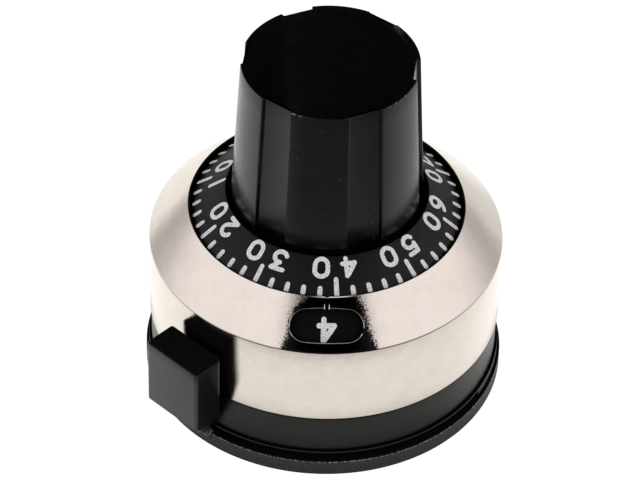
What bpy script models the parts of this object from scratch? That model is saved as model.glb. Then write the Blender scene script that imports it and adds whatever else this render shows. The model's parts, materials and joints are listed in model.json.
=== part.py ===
"""Turns-counting control dial with a brake lever, for a 1/4 inch multi-turn shaft.

Metres, +Z up. The shaft axis is the Z axis and the window faces -Y. The lowest point is the tip
of the locating pin at z = 0, and the face that seats on the panel is LUG_LENGTH above it. Every
height below is counted from that panel face, because all pieces hang on the panel_plane empty.
"""

import math

import bmesh
import bpy
from mathutils import Matrix, Vector

# Driving dimensions
LUG_LENGTH = 0.0015
SHAFT_RADIUS = 0.003175
BODY_RADIUS = 0.0111
KNOB_TOP = 0.02396
RUNNING_GAP = 0.00005

# Segments round a full circle
FINE = 72
ROUND = 48
SMALL = 20

# Bezel: a metal sleeve with a 45 degree cone
BEZEL_WALL = 0.0005
BEZEL_BOTTOM = 0.00457
CONE_FOOT = 0.01022
CONE_TOP = 0.01261
RIM_RADIUS = 0.00867
RIM_INNER = 0.00855
CONE_SLOPE = (CONE_TOP - CONE_FOOT) / (BODY_RADIUS - RIM_RADIUS)
CONE_TILT = math.atan(CONE_SLOPE)
WINDOW_RADIUS = 0.0100
WINDOW_WIDTH = 0.00454
WINDOW_HEIGHT = 0.00204
INDEX_WIDTH = 0.00025
INDEX_DEPTH = 0.00012
INDEX_END = 0.0022
CUT_REACH = 0.0012

# Housing: flange, dark band and the sleeve inside the bezel
FLOOR_BOTTOM = 0.00125
FLOOR_TOP = 0.0024
FLANGE_RADIUS = 0.01118
FLANGE_TOP = 0.00186
BAND_RADIUS = 0.0110
SLEEVE_OUTER = 0.0105
SLEEVE_BORE = 0.0100
SLEEVE_TOP = 0.00935
BEARING_SEAT = 0.00505
BEARING_TOP = 0.00238
WASHER_RADIUS = 0.0050
WASHER_BOTTOM = 0.00243
WASHER_TOP = 0.0026

# Brake lever: ring, spiral cam and finger tab
LEVER_REST = math.radians(-134.3)
LEVER_TRAVEL = math.radians(98.0)
ARM_HALF_ANGLE = math.radians(7.5)
SLOT_INNER = 0.01025
SLOT_OUTER = 0.0120
SLOT_BOTTOM = 0.0009
SLOT_TOP = 0.00175
RING_RADIUS = 0.01136
RING_BOTTOM = 0.00004
RING_TOP = 0.00115
RING_STEP = 0.00062
RING_STEP_RADIUS = 0.0095
CAM_RADIUS = 0.00895
CAM_FALL = 0.00035
CAM_LEAD_IN = math.radians(14.0)
TAB_BACK = 0.0113
TAB_THICKNESS = 0.00222
TAB_HALF_WIDTH = 0.00221
TAB_BOTTOM = 0.00346
TAB_TOP = 0.0082
ARM_HALF_WIDTH = 0.00125
ARM_BACK = 0.01075
ARM_FRONT = 0.0113
TAB_CORNER = 0.0002
ARM_LEAN_START = 0.0006
ARM_STEP_START = 0.00105
ARM_STEP_END = 0.0016

# Brake shoe and the base plate that guides it
SHOE_ANGLE = math.radians(90.0)
SHOE_WIDTH = 0.0030
SHOE_BOTTOM = 0.00066
SHOE_TOP = 0.00112
SHOE_NOSE_WIDTH = 0.0012
SHOE_NOSE_LENGTH = 0.0008
SHOE_CLEARANCE = 0.00003
SHOE_GROOVE = (0.0040, 0.0090)
PLATE_RADIUS = 0.0094
PLATE_RIM = 0.00055
PLATE_GUIDE_RADIUS = 0.0084
PLATE_BORE = 0.00445
CLIP_RECESS = 0.0052
BASE_SCREW_RADIUS = 0.0069
BASE_SCREW_ANGLES = (30.0, 150.0, 270.0)
SCREW_SHANK = 0.0007
SCREW_HEAD = 0.0012
SCREW_HEAD_BOTTOM = 0.00003
SCREW_HEAD_EDGE = 0.0001
SCREW_CONE_TOP = 0.0005
SCREW_TOP = 0.0020
SCREW_HOLE_TOP = 0.00215
DRIVER_SLOT_HALF = 0.00014
DRIVER_SLOT_TOP = 0.00026
DRIVER_SLOT_TURN = 35.0
PIN_RADIUS = 0.0008
PIN_PLACE = 0.0072
PIN_ANGLE = math.radians(60.0)
PIN_TOP = 0.0011
PIN_CHAMFER = 0.0001
PRESS_GAP = 0.00002
SINK_GAP = 0.0001

# Hub on the shaft
HUB_BOTTOM = 0.0002
HUB_BORE = 0.0031875
HUB_DRUM = 0.0042
HUB_RADIUS = 0.0046
HUB_FLANGE = 0.0079
HUB_SHOULDER = 0.00265
CARRIER_BOTTOM = 0.0082
CARRIER_TOP = 0.0092
HUB_TOP = 0.0190
BORE_DEPTH = 0.0175
GROOVE_RADIUS = 0.00385
GROOVE_BOTTOM = 0.00025
GROOVE_TOP = 0.00052
RETAINING_RING_RADIUS = 0.00475
CLIP_GAP = 0.00004

# Knob and the dial ring on its skirt
GRIP_TOP_RADIUS = 0.00547
GRIP_FOOT_RADIUS = 0.0060
GRIP_FOOT = 0.0140
SKIRT_RADIUS = 0.0074
SKIRT_BOTTOM = 0.00925
SKIRT_TOP = 0.0123
FLUTES = 6
FLUTE_ANGLE = math.radians(-7.2)
FLUTE_HALF_ANGLE = math.radians(10.7)
FLUTE_DEPTH = 0.00033
DIAL_RADIUS = 0.00842
DIAL_EDGE = 0.01232
DIAL_INNER = 0.00615
DIAL_SLOPE = 0.7225
DIAL_THICKNESS = 0.0007
GRIP_EDGE = 0.00012
FIT_GAP = 0.0001
SET_SCREW_HEIGHT = 0.0152
SET_SCREW_RADIUS = 0.00145
SET_SCREW_LENGTH = 0.0020
SET_SCREW_POINT = 0.0003
SET_SCREW_HOLE = 0.0016
SOCKET_RADIUS = 0.00087
SOCKET_DEPTH = 0.0011
SET_SCREW_FLUTES = (1, 2)

# Reduction: the planet turns the counter once for every fifteen turns of the knob
PLANET_TEETH = 8
FIXED_TEETH = 42
COUNTER_TEETH = 45
COUNTER_MODULE = 0.00037
CENTRE_DISTANCE = (COUNTER_TEETH - PLANET_TEETH) / 2 * COUNTER_MODULE
FIXED_MODULE = CENTRE_DISTANCE * 2 / (FIXED_TEETH - PLANET_TEETH)
PRESSURE_ANGLE = math.radians(25.0)
BACKLASH = 0.035
PLANET_ANGLE = math.radians(20.0)
PLANET_BORE = 0.00063
PLANET_NECK = 0.00105
PLANET_PIN = 0.0006
PLANET_PIN_ENDS = (0.0025, 0.00915)
PLANET_LOWER = (0.0028, 0.0048)
PLANET_UPPER = (0.0056, 0.0078)
PIN_GROOVE_RADIUS = 0.00042
PIN_GROOVE = (0.00254, 0.00273)
PLANET_CLIP_RADII = (0.00045, 0.0011)
PLANET_CLIP_HEIGHTS = (0.00257, 0.0027)
FIXED_GEAR_INNER = 0.0079
FIXED_GEAR_GAP = 0.00007
FIXED_GEAR_TOP = 0.0051
COUNTER_INNER = 0.0078
COUNTER_BOTTOM = 0.00535
COUNTER_FLANGE = (0.00942, 0.00978)
COUNTER_RADIUS = 0.0104
COUNTER_CONE_INNER = 0.0087
COUNTER_CONE_FOOT = 0.01002


def clear_scene():
    for obj in list(bpy.data.objects):
        bpy.data.objects.remove(obj, do_unlink=True)


def material(name, colour, roughness, metallic):
    """A Principled material with one base colour."""
    made = bpy.data.materials.new(name)
    made.use_nodes = True
    shader = made.node_tree.nodes["Principled BSDF"]
    shader.inputs["Base Color"].default_value = (*colour, 1.0)
    shader.inputs["Roughness"].default_value = roughness
    shader.inputs["Metallic"].default_value = metallic
    return made


def empty(name, location, parent=None):
    """An empty that marks a joint axis or a reference plane."""
    made = bpy.data.objects.new(name, None)
    made.location = location
    made.parent = parent
    bpy.context.collection.objects.link(made)
    return made


def add_object(name, bm, parent, finish=None):
    """Turns a bmesh into an object whose faces point outwards."""
    bmesh.ops.recalc_face_normals(bm, faces=bm.faces)
    mesh = bpy.data.meshes.new(name)
    bm.to_mesh(mesh)
    bm.free()
    mesh.shade_smooth()
    mesh.set_sharp_from_angle(angle=math.radians(30))
    made = bpy.data.objects.new(name, mesh)
    made.parent = parent
    bpy.context.collection.objects.link(made)
    if finish:
        mesh.materials.append(finish)
    return made


def helper(name, bm, parent):
    """A solid that only takes part in a Boolean."""
    made = add_object(name, bm, parent)
    made.hide_render = True
    made.display_type = "WIRE"
    return made


def combine(target, other, operation):
    step = target.modifiers.new(other.name, "BOOLEAN")
    step.operation = operation
    step.solver = "EXACT"
    step.object = other


def polar(radius, angle, height=0.0):
    return Vector((radius * math.cos(angle), radius * math.sin(angle), height))


def swept(section_at, segments, start=0.0, sweep=2 * math.pi):
    """A bmesh swept round Z from the closed (radius, height) section at each angle."""
    bm = bmesh.new()
    full = sweep > 2 * math.pi - 1e-6
    stations = segments if full else segments + 1
    loops = []
    for i in range(stations):
        angle = start + sweep * i / segments
        loops.append([bm.verts.new(polar(r, angle, z)) for r, z in section_at(angle)])
    for i in range(segments):
        near = loops[i]
        far = loops[(i + 1) % stations]
        for k in range(len(near)):
            after = (k + 1) % len(near)
            bm.faces.new((near[k], near[after], far[after], far[k]))
    if not full:
        bm.faces.new(loops[0])
        bm.faces.new(list(reversed(loops[-1])))
    bmesh.ops.remove_doubles(bm, verts=bm.verts, dist=1e-7)
    return bm


def turned(section, segments=ROUND):
    """A bmesh turned on a lathe from one closed (radius, height) section."""
    return swept(lambda angle: section, segments)


def lofted(loops):
    """A bmesh skinned over loops of equal length, closed by a flat cap at each end."""
    bm = bmesh.new()
    rings = [[bm.verts.new(point) for point in loop] for loop in loops]
    for low, high in zip(rings, rings[1:]):
        for k in range(len(low)):
            after = (k + 1) % len(low)
            bm.faces.new((low[k], low[after], high[after], high[k]))
    bm.faces.new(list(reversed(rings[0])))
    bm.faces.new(rings[-1])
    return bm


def prism(outline, bottom, top):
    """A bmesh extruded straight up from an (x, y) outline."""
    return lofted([[(x, y, z) for x, y in outline] for z in (bottom, top)])


def disc(radius, bottom, top, segments=SMALL, centre=(0.0, 0.0)):
    """A plain cylinder for a bore or a shank."""
    turns = [2 * math.pi * i / segments for i in range(segments)]
    outline = [(centre[0] + radius * math.cos(a), centre[1] + radius * math.sin(a)) for a in turns]
    return prism(outline, bottom, top)


def box(low, high):
    corners = [(low[0], low[1]), (high[0], low[1]), (high[0], high[1]), (low[0], high[1])]
    return prism(corners, low[2], high[2])


def bored(target, radius, bottom, top, centre=(0.0, 0.0)):
    cutter = helper(f"{target.name}_bore", disc(radius, bottom, top, centre=centre), target.parent)
    combine(target, cutter, "DIFFERENCE")


def involute(angle):
    return math.tan(angle) - angle


def gear_outline(teeth, module, root, tip, share, turn, steps=4):
    """The outline of a spur gear. share is the part of the pitch that each tooth fills."""
    pitch_radius = teeth * module / 2
    base = pitch_radius * math.cos(PRESSURE_ANGLE)
    half_pitch = share * math.pi * module / 2 / pitch_radius

    def half_width(radius):
        slope = math.acos(min(1.0, base / radius))
        return half_pitch + involute(PRESSURE_ANGLE) - involute(slope)

    start = max(base, root)
    flank = [start + (tip - start) * i / (steps - 1) for i in range(steps)]
    if root < base:
        flank.insert(0, root)
    points = []
    for tooth in range(teeth):
        middle = turn + 2 * math.pi * tooth / teeth
        points += [polar(r, middle - half_width(max(r, base)))[:2] for r in flank]
        points += [polar(r, middle + half_width(max(r, base)))[:2] for r in reversed(flank)]
    return points


def planet_outline(module):
    pitch_radius = PLANET_TEETH * module / 2
    root = pitch_radius - module
    tip = pitch_radius + 0.8 * module
    return gear_outline(PLANET_TEETH, module, root, tip, 0.5 - BACKLASH, PLANET_ANGLE)


def ring_outline(teeth, module):
    """The toothed opening of an internal gear, with a gap between teeth facing the planet."""
    pitch_radius = teeth * module / 2
    tooth_tips = pitch_radius - 0.6 * module
    gap_ends = pitch_radius + module
    return gear_outline(teeth, module, tooth_tips, gap_ends, 0.5 + BACKLASH, PLANET_ANGLE, 3)


def cone_height(radius):
    """Height of the bezel's outer cone."""
    return CONE_TOP - (radius - RIM_RADIUS) * CONE_SLOPE


def window_frame():
    """Places local Z along the cone's normal at the middle of the window, and local Y upslope."""
    centre = Vector((0.0, -WINDOW_RADIUS, cone_height(WINDOW_RADIUS)))
    return Matrix.Translation(centre) @ Matrix.Rotation(CONE_TILT, 4, "X")


def obround(width, height, steps=10):
    """An (x, y) outline with straight long sides and round ends."""
    end = height / 2
    reach = width / 2 - end
    points = []
    for side in (1, -1):
        for i in range(steps + 1):
            turn = -math.pi / 2 + math.pi * i / steps
            points.append((side * (reach + end * math.cos(turn)), side * end * math.sin(turn)))
    return points


def make_bezel(parent, finish):
    inner = BODY_RADIUS - BEZEL_WALL
    # The inner cone runs one wall thickness below the outer one.
    drop = BEZEL_WALL * math.sqrt(1 + CONE_SLOPE**2)
    section = [
        (inner, BEZEL_BOTTOM),
        (BODY_RADIUS, BEZEL_BOTTOM),
        (BODY_RADIUS, CONE_FOOT),
        (RIM_RADIUS, CONE_TOP),
        (RIM_INNER, CONE_TOP),
        (RIM_INNER, cone_height(RIM_INNER) - drop),
        (inner, cone_height(inner) - drop),
    ]
    bezel = add_object("bezel", turned(section, FINE), parent, finish)
    window = prism(obround(WINDOW_WIDTH, WINDOW_HEIGHT), -CUT_REACH, CUT_REACH)
    window.transform(window_frame())
    combine(bezel, helper("window_opening", window, parent), "DIFFERENCE")
    half = INDEX_WIDTH / 2
    start = WINDOW_HEIGHT / 2 - INDEX_DEPTH
    index = box((-half, start, -INDEX_DEPTH), (half, INDEX_END, CUT_REACH))
    index.transform(window_frame())
    combine(bezel, helper("index_groove", index, parent), "DIFFERENCE")


def make_housing(parent, finish):
    section = [
        (BEARING_SEAT, FLOOR_BOTTOM),
        (FLANGE_RADIUS, FLOOR_BOTTOM),
        (FLANGE_RADIUS, FLANGE_TOP),
        (BAND_RADIUS, FLANGE_TOP),
        (BAND_RADIUS, BEZEL_BOTTOM - RUNNING_GAP),
        (SLEEVE_OUTER, BEZEL_BOTTOM - RUNNING_GAP),
        (SLEEVE_OUTER, SLEEVE_TOP),
        (SLEEVE_BORE, SLEEVE_TOP),
        (SLEEVE_BORE, FLOOR_TOP),
        (BEARING_SEAT, FLOOR_TOP),
    ]
    housing = add_object("housing", turned(section, FINE), parent, finish)
    slot_section = [
        (SLOT_INNER, SLOT_BOTTOM),
        (SLOT_OUTER, SLOT_BOTTOM),
        (SLOT_OUTER, SLOT_TOP),
        (SLOT_INNER, SLOT_TOP),
    ]
    start = LEVER_REST - ARM_HALF_ANGLE
    sweep = LEVER_TRAVEL + 2 * ARM_HALF_ANGLE
    slot = swept(lambda angle: slot_section, 36, start, sweep)
    combine(housing, helper("lever_slot", slot, parent), "DIFFERENCE")
    for degrees in BASE_SCREW_ANGLES:
        x, y, _ = polar(BASE_SCREW_RADIUS, math.radians(degrees))
        bored(housing, SCREW_SHANK + RUNNING_GAP, SLOT_BOTTOM, SCREW_HOLE_TOP, (x, y))


def make_base_plate(parent, finish):
    section = [
        (PLATE_BORE, PLATE_RIM),
        (CLIP_RECESS, PLATE_RIM),
        (CLIP_RECESS, 0.0),
        (PLATE_RADIUS, 0.0),
        (PLATE_RADIUS, PLATE_RIM),
        (PLATE_GUIDE_RADIUS, PLATE_RIM),
        (PLATE_GUIDE_RADIUS, RING_TOP),
        (PLATE_BORE, RING_TOP),
    ]
    plate = add_object("base_plate", turned(section), parent, finish)
    half = SHOE_WIDTH / 2 + RUNNING_GAP
    near, far = SHOE_GROOVE
    groove = box((near, -half, SHOE_BOTTOM - RUNNING_GAP), (far, half, RING_TOP + RUNNING_GAP))
    groove.transform(Matrix.Rotation(SHOE_ANGLE, 4, "Z"))
    combine(plate, helper("shoe_groove", groove, parent), "DIFFERENCE")
    sink = [
        (0.0, -CUT_REACH),
        (SCREW_HEAD + SINK_GAP, -CUT_REACH),
        (SCREW_HEAD + SINK_GAP, SCREW_HEAD_EDGE),
        (SCREW_SHANK + SINK_GAP, SCREW_CONE_TOP),
        (SCREW_SHANK + SINK_GAP, SCREW_HOLE_TOP),
        (0.0, SCREW_HOLE_TOP),
    ]
    for degrees in BASE_SCREW_ANGLES:
        hole = turned(sink, SMALL)
        hole.transform(Matrix.Translation(polar(BASE_SCREW_RADIUS, math.radians(degrees))))
        combine(plate, helper(f"countersink_{degrees:.0f}", hole, parent), "DIFFERENCE")
    x, y, _ = polar(PIN_PLACE, PIN_ANGLE)
    bored(plate, PIN_RADIUS + PRESS_GAP, -CUT_REACH, SCREW_HOLE_TOP, (x, y))


def make_base_screws(parent, finish):
    """Countersunk screws from below, each with a straight driver slot."""
    section = [
        (0.0, SCREW_HEAD_BOTTOM),
        (SCREW_HEAD, SCREW_HEAD_BOTTOM),
        (SCREW_HEAD, SCREW_HEAD_EDGE),
        (SCREW_SHANK, SCREW_CONE_TOP),
        (SCREW_SHANK, SCREW_TOP),
        (0.0, SCREW_TOP),
    ]
    for number, degrees in enumerate(BASE_SCREW_ANGLES, start=1):
        screw = add_object(f"base_screw_{number}", turned(section, SMALL), parent, finish)
        screw.location = polar(BASE_SCREW_RADIUS, math.radians(degrees))
        half, reach = DRIVER_SLOT_HALF, SCREW_HEAD + FIT_GAP
        slot = box((-reach, -half, -CUT_REACH), (reach, half, DRIVER_SLOT_TOP))
        slot.transform(Matrix.Rotation(math.radians(DRIVER_SLOT_TURN * number), 4, "Z"))
        cutter = helper(f"driver_slot_{number}", slot, parent)
        cutter.location = screw.location
        combine(screw, cutter, "DIFFERENCE")


def make_locating_pin(parent, finish):
    """A steel pin that stops the dial from turning on the panel."""
    section = [
        (0.0, -LUG_LENGTH),
        (PIN_RADIUS - PIN_CHAMFER, -LUG_LENGTH),
        (PIN_RADIUS, -LUG_LENGTH + PIN_CHAMFER),
        (PIN_RADIUS, PIN_TOP),
        (0.0, PIN_TOP),
    ]
    pin = add_object("locating_pin", turned(section, SMALL), parent, finish)
    pin.location = polar(PIN_PLACE, PIN_ANGLE)


def make_hub_bearing(parent, finish):
    inner = HUB_DRUM + RUNNING_GAP
    outer = BEARING_SEAT - PRESS_GAP
    section = [
        (inner, FLOOR_BOTTOM),
        (outer, FLOOR_BOTTOM),
        (outer, BEARING_TOP),
        (inner, BEARING_TOP),
    ]
    add_object("hub_bearing", turned(section), parent, finish)


def make_thrust_washer(parent, finish):
    inner = HUB_DRUM + FIT_GAP
    section = [
        (inner, WASHER_BOTTOM),
        (WASHER_RADIUS, WASHER_BOTTOM),
        (WASHER_RADIUS, WASHER_TOP),
        (inner, WASHER_TOP),
    ]
    add_object("thrust_washer", turned(section), parent, finish)


def make_ring_gear(name, parent, finish, section, teeth, module):
    """An internal gear: a turned blank with a toothed opening through it."""
    gear = add_object(name, turned(section), parent, finish)
    bottom, top = section[0][1] - CUT_REACH, section[-1][1] + CUT_REACH
    opening = prism(ring_outline(teeth, module), bottom, top)
    combine(gear, helper(f"{name}_teeth", opening, parent), "DIFFERENCE")


def make_fixed_gear(parent, finish):
    bottom = FLOOR_TOP + RUNNING_GAP
    outer = SLEEVE_BORE - FIXED_GEAR_GAP
    section = [
        (FIXED_GEAR_INNER, bottom),
        (outer, bottom),
        (outer, FIXED_GEAR_TOP),
        (FIXED_GEAR_INNER, FIXED_GEAR_TOP),
    ]
    make_ring_gear("fixed_ring_gear", parent, finish, section, FIXED_TEETH, FIXED_MODULE)


def make_counter_gear(parent, finish):
    """The internal gear that carries the turns numerals, running inside the housing sleeve."""
    skirt = SLEEVE_BORE - FIT_GAP
    low, high = COUNTER_FLANGE
    section = [
        (COUNTER_INNER, COUNTER_BOTTOM),
        (skirt, COUNTER_BOTTOM),
        (skirt, low),
        (COUNTER_RADIUS, low),
        (COUNTER_RADIUS, high),
        (COUNTER_INNER, high),
    ]
    make_ring_gear("counter_gear", parent, finish, section, COUNTER_TEETH, COUNTER_MODULE)


def make_counter_dial(parent, finish):
    """The black cone under the window."""
    bottom = COUNTER_FLANGE[1] + CLIP_GAP
    rise = (COUNTER_RADIUS - COUNTER_CONE_INNER) * CONE_SLOPE
    section = [
        (COUNTER_CONE_INNER, bottom),
        (COUNTER_RADIUS, bottom),
        (COUNTER_RADIUS, COUNTER_CONE_FOOT),
        (COUNTER_CONE_INNER, COUNTER_CONE_FOOT + rise),
    ]
    add_object("counter_dial", turned(section, FINE), parent, finish)


def make_planet_gear(parent, finish):
    """Two pinions in one piece: the lower rolls in the fixed gear, the upper drives the counter."""
    lower = prism(planet_outline(FIXED_MODULE), *PLANET_LOWER)
    gear = add_object("planet_gear", lower, parent, finish)
    upper = helper("planet_upper", prism(planet_outline(COUNTER_MODULE), *PLANET_UPPER), parent)
    neck = disc(PLANET_NECK, PLANET_LOWER[1] - FIT_GAP, PLANET_UPPER[0] + FIT_GAP)
    combine(gear, helper("planet_neck", neck, parent), "UNION")
    combine(gear, upper, "UNION")
    bored(gear, PLANET_BORE, PLANET_LOWER[0] - CUT_REACH, PLANET_UPPER[1] + CUT_REACH)


def make_planet_pin(parent, finish):
    bottom, top = PLANET_PIN_ENDS
    low, high = PIN_GROOVE
    section = [
        (0.0, bottom),
        (PLANET_PIN, bottom),
        (PLANET_PIN, low),
        (PIN_GROOVE_RADIUS, low),
        (PIN_GROOVE_RADIUS, high),
        (PLANET_PIN, high),
        (PLANET_PIN, top),
        (0.0, top),
    ]
    made = add_object("planet_pin", turned(section, SMALL), parent, finish)
    made.location = polar(CENTRE_DISTANCE, PLANET_ANGLE)


def open_clip(name, inner, outer, bottom, top, opening, facing, parent, finish):
    """A spring clip: a flat ring with a gap facing the given direction."""
    section = [(inner, bottom), (outer, bottom), (outer, top), (inner, top)]
    sweep = 2 * math.pi - opening
    clip = swept(lambda angle: section, 40, facing + opening / 2, sweep)
    return add_object(name, clip, parent, finish)


def make_retaining_ring(parent, finish):
    """The spring ring in the hub's groove, under the base plate's recess."""
    radii = (GROOVE_RADIUS + RUNNING_GAP, RETAINING_RING_RADIUS)
    heights = (GROOVE_BOTTOM + CLIP_GAP, GROOVE_TOP - CLIP_GAP)
    opening, facing = math.radians(50), math.radians(-60)
    open_clip("retaining_ring", *radii, *heights, opening, facing, parent, finish)


def make_planet_clip(parent, finish):
    clip = open_clip(
        "planet_clip",
        *PLANET_CLIP_RADII,
        *PLANET_CLIP_HEIGHTS,
        math.radians(80),
        PLANET_ANGLE,
        parent,
        finish,
    )
    clip.location = polar(CENTRE_DISTANCE, PLANET_ANGLE)


def make_hub(parent, finish):
    """The turned brass hub: brake drum, planet carrier flange and blind shaft bore."""
    section = [
        (HUB_BORE, HUB_BOTTOM),
        (HUB_DRUM, HUB_BOTTOM),
        (HUB_DRUM, GROOVE_BOTTOM),
        (GROOVE_RADIUS, GROOVE_BOTTOM),
        (GROOVE_RADIUS, GROOVE_TOP),
        (HUB_DRUM, GROOVE_TOP),
        (HUB_DRUM, HUB_SHOULDER),
        (HUB_RADIUS, HUB_SHOULDER),
        (HUB_RADIUS, CARRIER_BOTTOM),
        (HUB_FLANGE, CARRIER_BOTTOM),
        (HUB_FLANGE, CARRIER_TOP),
        (HUB_RADIUS, CARRIER_TOP),
        (HUB_RADIUS, HUB_TOP),
        (0.0, HUB_TOP),
        (0.0, BORE_DEPTH),
        (HUB_BORE, BORE_DEPTH),
    ]
    hub = add_object("hub", turned(section), parent, finish)
    x, y, _ = polar(CENTRE_DISTANCE, PLANET_ANGLE)
    bottom, top = CARRIER_BOTTOM - FIT_GAP, CARRIER_TOP + FIT_GAP
    bored(hub, PLANET_PIN + PRESS_GAP, bottom, top, (x, y))
    inner, outer = HUB_BORE - CUT_REACH, HUB_RADIUS + CUT_REACH
    for flute in SET_SCREW_FLUTES:
        hole = radial_hole(SET_SCREW_RADIUS + CLIP_GAP, flute, inner, outer)
        combine(hub, helper(f"hub_thread_{flute}", hole, parent), "DIFFERENCE")


def set_screw_frame(flute):
    """Places local Z along the radius through a flute, at the height of the set screws."""
    angle = FLUTE_ANGLE + flute * 2 * math.pi / FLUTES
    tilt = Matrix.Rotation(math.pi / 2, 4, "Y")
    return Matrix.Translation((0.0, 0.0, SET_SCREW_HEIGHT)) @ Matrix.Rotation(angle, 4, "Z") @ tilt


def radial_hole(radius, flute, start, end):
    hole = disc(radius, start, end)
    hole.transform(set_screw_frame(flute))
    return hole


def flute_outline(radius):
    """The grip's outline: a circle with flat-floored flutes."""
    points = []
    step = 2 * math.pi / FLUTES
    land = step - 2 * FLUTE_HALF_ANGLE
    floor = radius - FLUTE_DEPTH
    for flute in range(FLUTES):
        middle = FLUTE_ANGLE + flute * step
        for share in (-0.985, -0.5, 0.0, 0.5, 0.985):
            turn = share * FLUTE_HALF_ANGLE
            points.append(polar(floor / math.cos(turn), middle + turn)[:2])
        for i in range(7):
            points.append(polar(radius, middle + FLUTE_HALF_ANGLE + land * i / 6)[:2])
    return points


def grip_radius(height):
    taper = (GRIP_FOOT_RADIUS - GRIP_TOP_RADIUS) / (KNOB_TOP - GRIP_FOOT)
    return GRIP_TOP_RADIUS + (KNOB_TOP - height) * taper


def make_knob(parent, finish):
    """The fluted grip with a round skirt under it, bored for the hub."""
    levels = [
        (SKIRT_TOP - FLUTE_DEPTH, GRIP_FOOT_RADIUS),
        (GRIP_FOOT, GRIP_FOOT_RADIUS),
        (KNOB_TOP - GRIP_EDGE, grip_radius(KNOB_TOP - GRIP_EDGE)),
        (KNOB_TOP, GRIP_TOP_RADIUS - GRIP_EDGE),
    ]
    loops = [[(x, y, z) for x, y in flute_outline(radius)] for z, radius in levels]
    knob = add_object("knob", lofted(loops), parent, finish)
    skirt = helper("knob_skirt", disc(SKIRT_RADIUS, SKIRT_BOTTOM, SKIRT_TOP, ROUND), parent)
    combine(knob, skirt, "UNION")
    bore = disc(HUB_RADIUS + RUNNING_GAP, SKIRT_BOTTOM - FIT_GAP, HUB_TOP + FIT_GAP, ROUND)
    combine(knob, helper("knob_bore", bore, parent), "DIFFERENCE")
    for flute in SET_SCREW_FLUTES:
        hole = radial_hole(SET_SCREW_HOLE, flute, HUB_BORE, GRIP_FOOT_RADIUS + CUT_REACH)
        combine(knob, helper(f"knob_hole_{flute}", hole, parent), "DIFFERENCE")


def make_dial_ring(parent, finish):
    """The black cone that carries the hundredths scale."""
    inside = SKIRT_RADIUS + FIT_GAP
    seat = SKIRT_TOP + RUNNING_GAP
    section = [
        (DIAL_INNER, seat),
        (inside, seat),
        (inside, DIAL_EDGE - DIAL_THICKNESS),
        (DIAL_RADIUS, DIAL_EDGE - DIAL_THICKNESS),
        (DIAL_RADIUS, DIAL_EDGE),
        (DIAL_INNER, DIAL_EDGE + (DIAL_RADIUS - DIAL_INNER) * DIAL_SLOPE),
    ]
    add_object("dial_ring", turned(section, FINE), parent, finish)


def make_set_screws(parent, finish):
    """Hexagon socket set screws that grip the shaft."""
    tip = SHAFT_RADIUS + RUNNING_GAP
    end = tip + SET_SCREW_LENGTH
    section = [
        (0.0, tip),
        (SET_SCREW_RADIUS - SET_SCREW_POINT, tip),
        (SET_SCREW_RADIUS, tip + SET_SCREW_POINT),
        (SET_SCREW_RADIUS, end),
        (0.0, end),
    ]
    for number, flute in enumerate(SET_SCREW_FLUTES, start=1):
        frame = set_screw_frame(flute)
        screw = add_object(f"set_screw_{number}", turned(section, SMALL), parent, finish)
        screw.location = frame.to_translation()
        screw.rotation_euler = frame.to_euler()
        socket = disc(SOCKET_RADIUS, end - SOCKET_DEPTH, end + CUT_REACH, 6)
        socket.transform(frame)
        combine(screw, helper(f"hex_socket_{number}", socket, parent), "DIFFERENCE")


def cam_radius(angle):
    """Inner edge of the lever ring: it falls steadily over the travel, then rises back."""
    lag = (SHOE_ANGLE - angle) % (2 * math.pi)
    end = LEVER_TRAVEL + CAM_LEAD_IN
    if lag < LEVER_TRAVEL:
        return CAM_RADIUS - CAM_FALL * lag / LEVER_TRAVEL
    if lag < end:
        return CAM_RADIUS - CAM_FALL
    rise = min(1.0, (lag - end) / CAM_LEAD_IN)
    return CAM_RADIUS - CAM_FALL * (1 - rise)


def share_of(value, start, end):
    """How far the value lies between start and end, held to the span 0 to 1."""
    return min(1.0, max(0.0, (value - start) / (end - start)))


def lever_ring_section(angle):
    cam = cam_radius(angle)
    return [
        (cam, RING_STEP),
        (RING_STEP_RADIUS, RING_STEP),
        (RING_STEP_RADIUS, RING_BOTTOM),
        (RING_RADIUS, RING_BOTTOM),
        (RING_RADIUS, RING_TOP),
        (cam, RING_TOP),
    ]


def tab_section(height):
    """Back, front and half width of the lever's arm and tab at one height.

    The back steps outwards below the flange's lip, the front leans out in a straight slope,
    and above the lip the sides flare to the tab.
    """
    step = share_of(height, ARM_STEP_START, ARM_STEP_END)
    lean = share_of(height, ARM_LEAN_START, TAB_BOTTOM)
    flare = share_of(height, ARM_STEP_END, TAB_BOTTOM)
    front = ARM_FRONT + (TAB_BACK + TAB_THICKNESS - ARM_FRONT) * lean
    back = ARM_BACK + (TAB_BACK - ARM_BACK) * step
    half = ARM_HALF_WIDTH + (TAB_HALF_WIDTH - ARM_HALF_WIDTH) * flare
    return back, front, half


def tab_loop(height):
    """A rounded rectangle across the arm, one corner radius all round."""
    back, front, half = tab_section(height)
    points = []
    corners = ((back, -half), (front, -half), (front, half), (back, half))
    starts = (math.pi, -math.pi / 2, 0.0, math.pi / 2)
    for (x, y), start in zip(corners, starts):
        centre = Vector((x + math.copysign(TAB_CORNER, (back + front) / 2 - x), y, height))
        centre.y -= math.copysign(TAB_CORNER, y)
        for i in range(4):
            points.append(centre + polar(TAB_CORNER, start + math.pi / 2 * i / 3))
    return points


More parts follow.
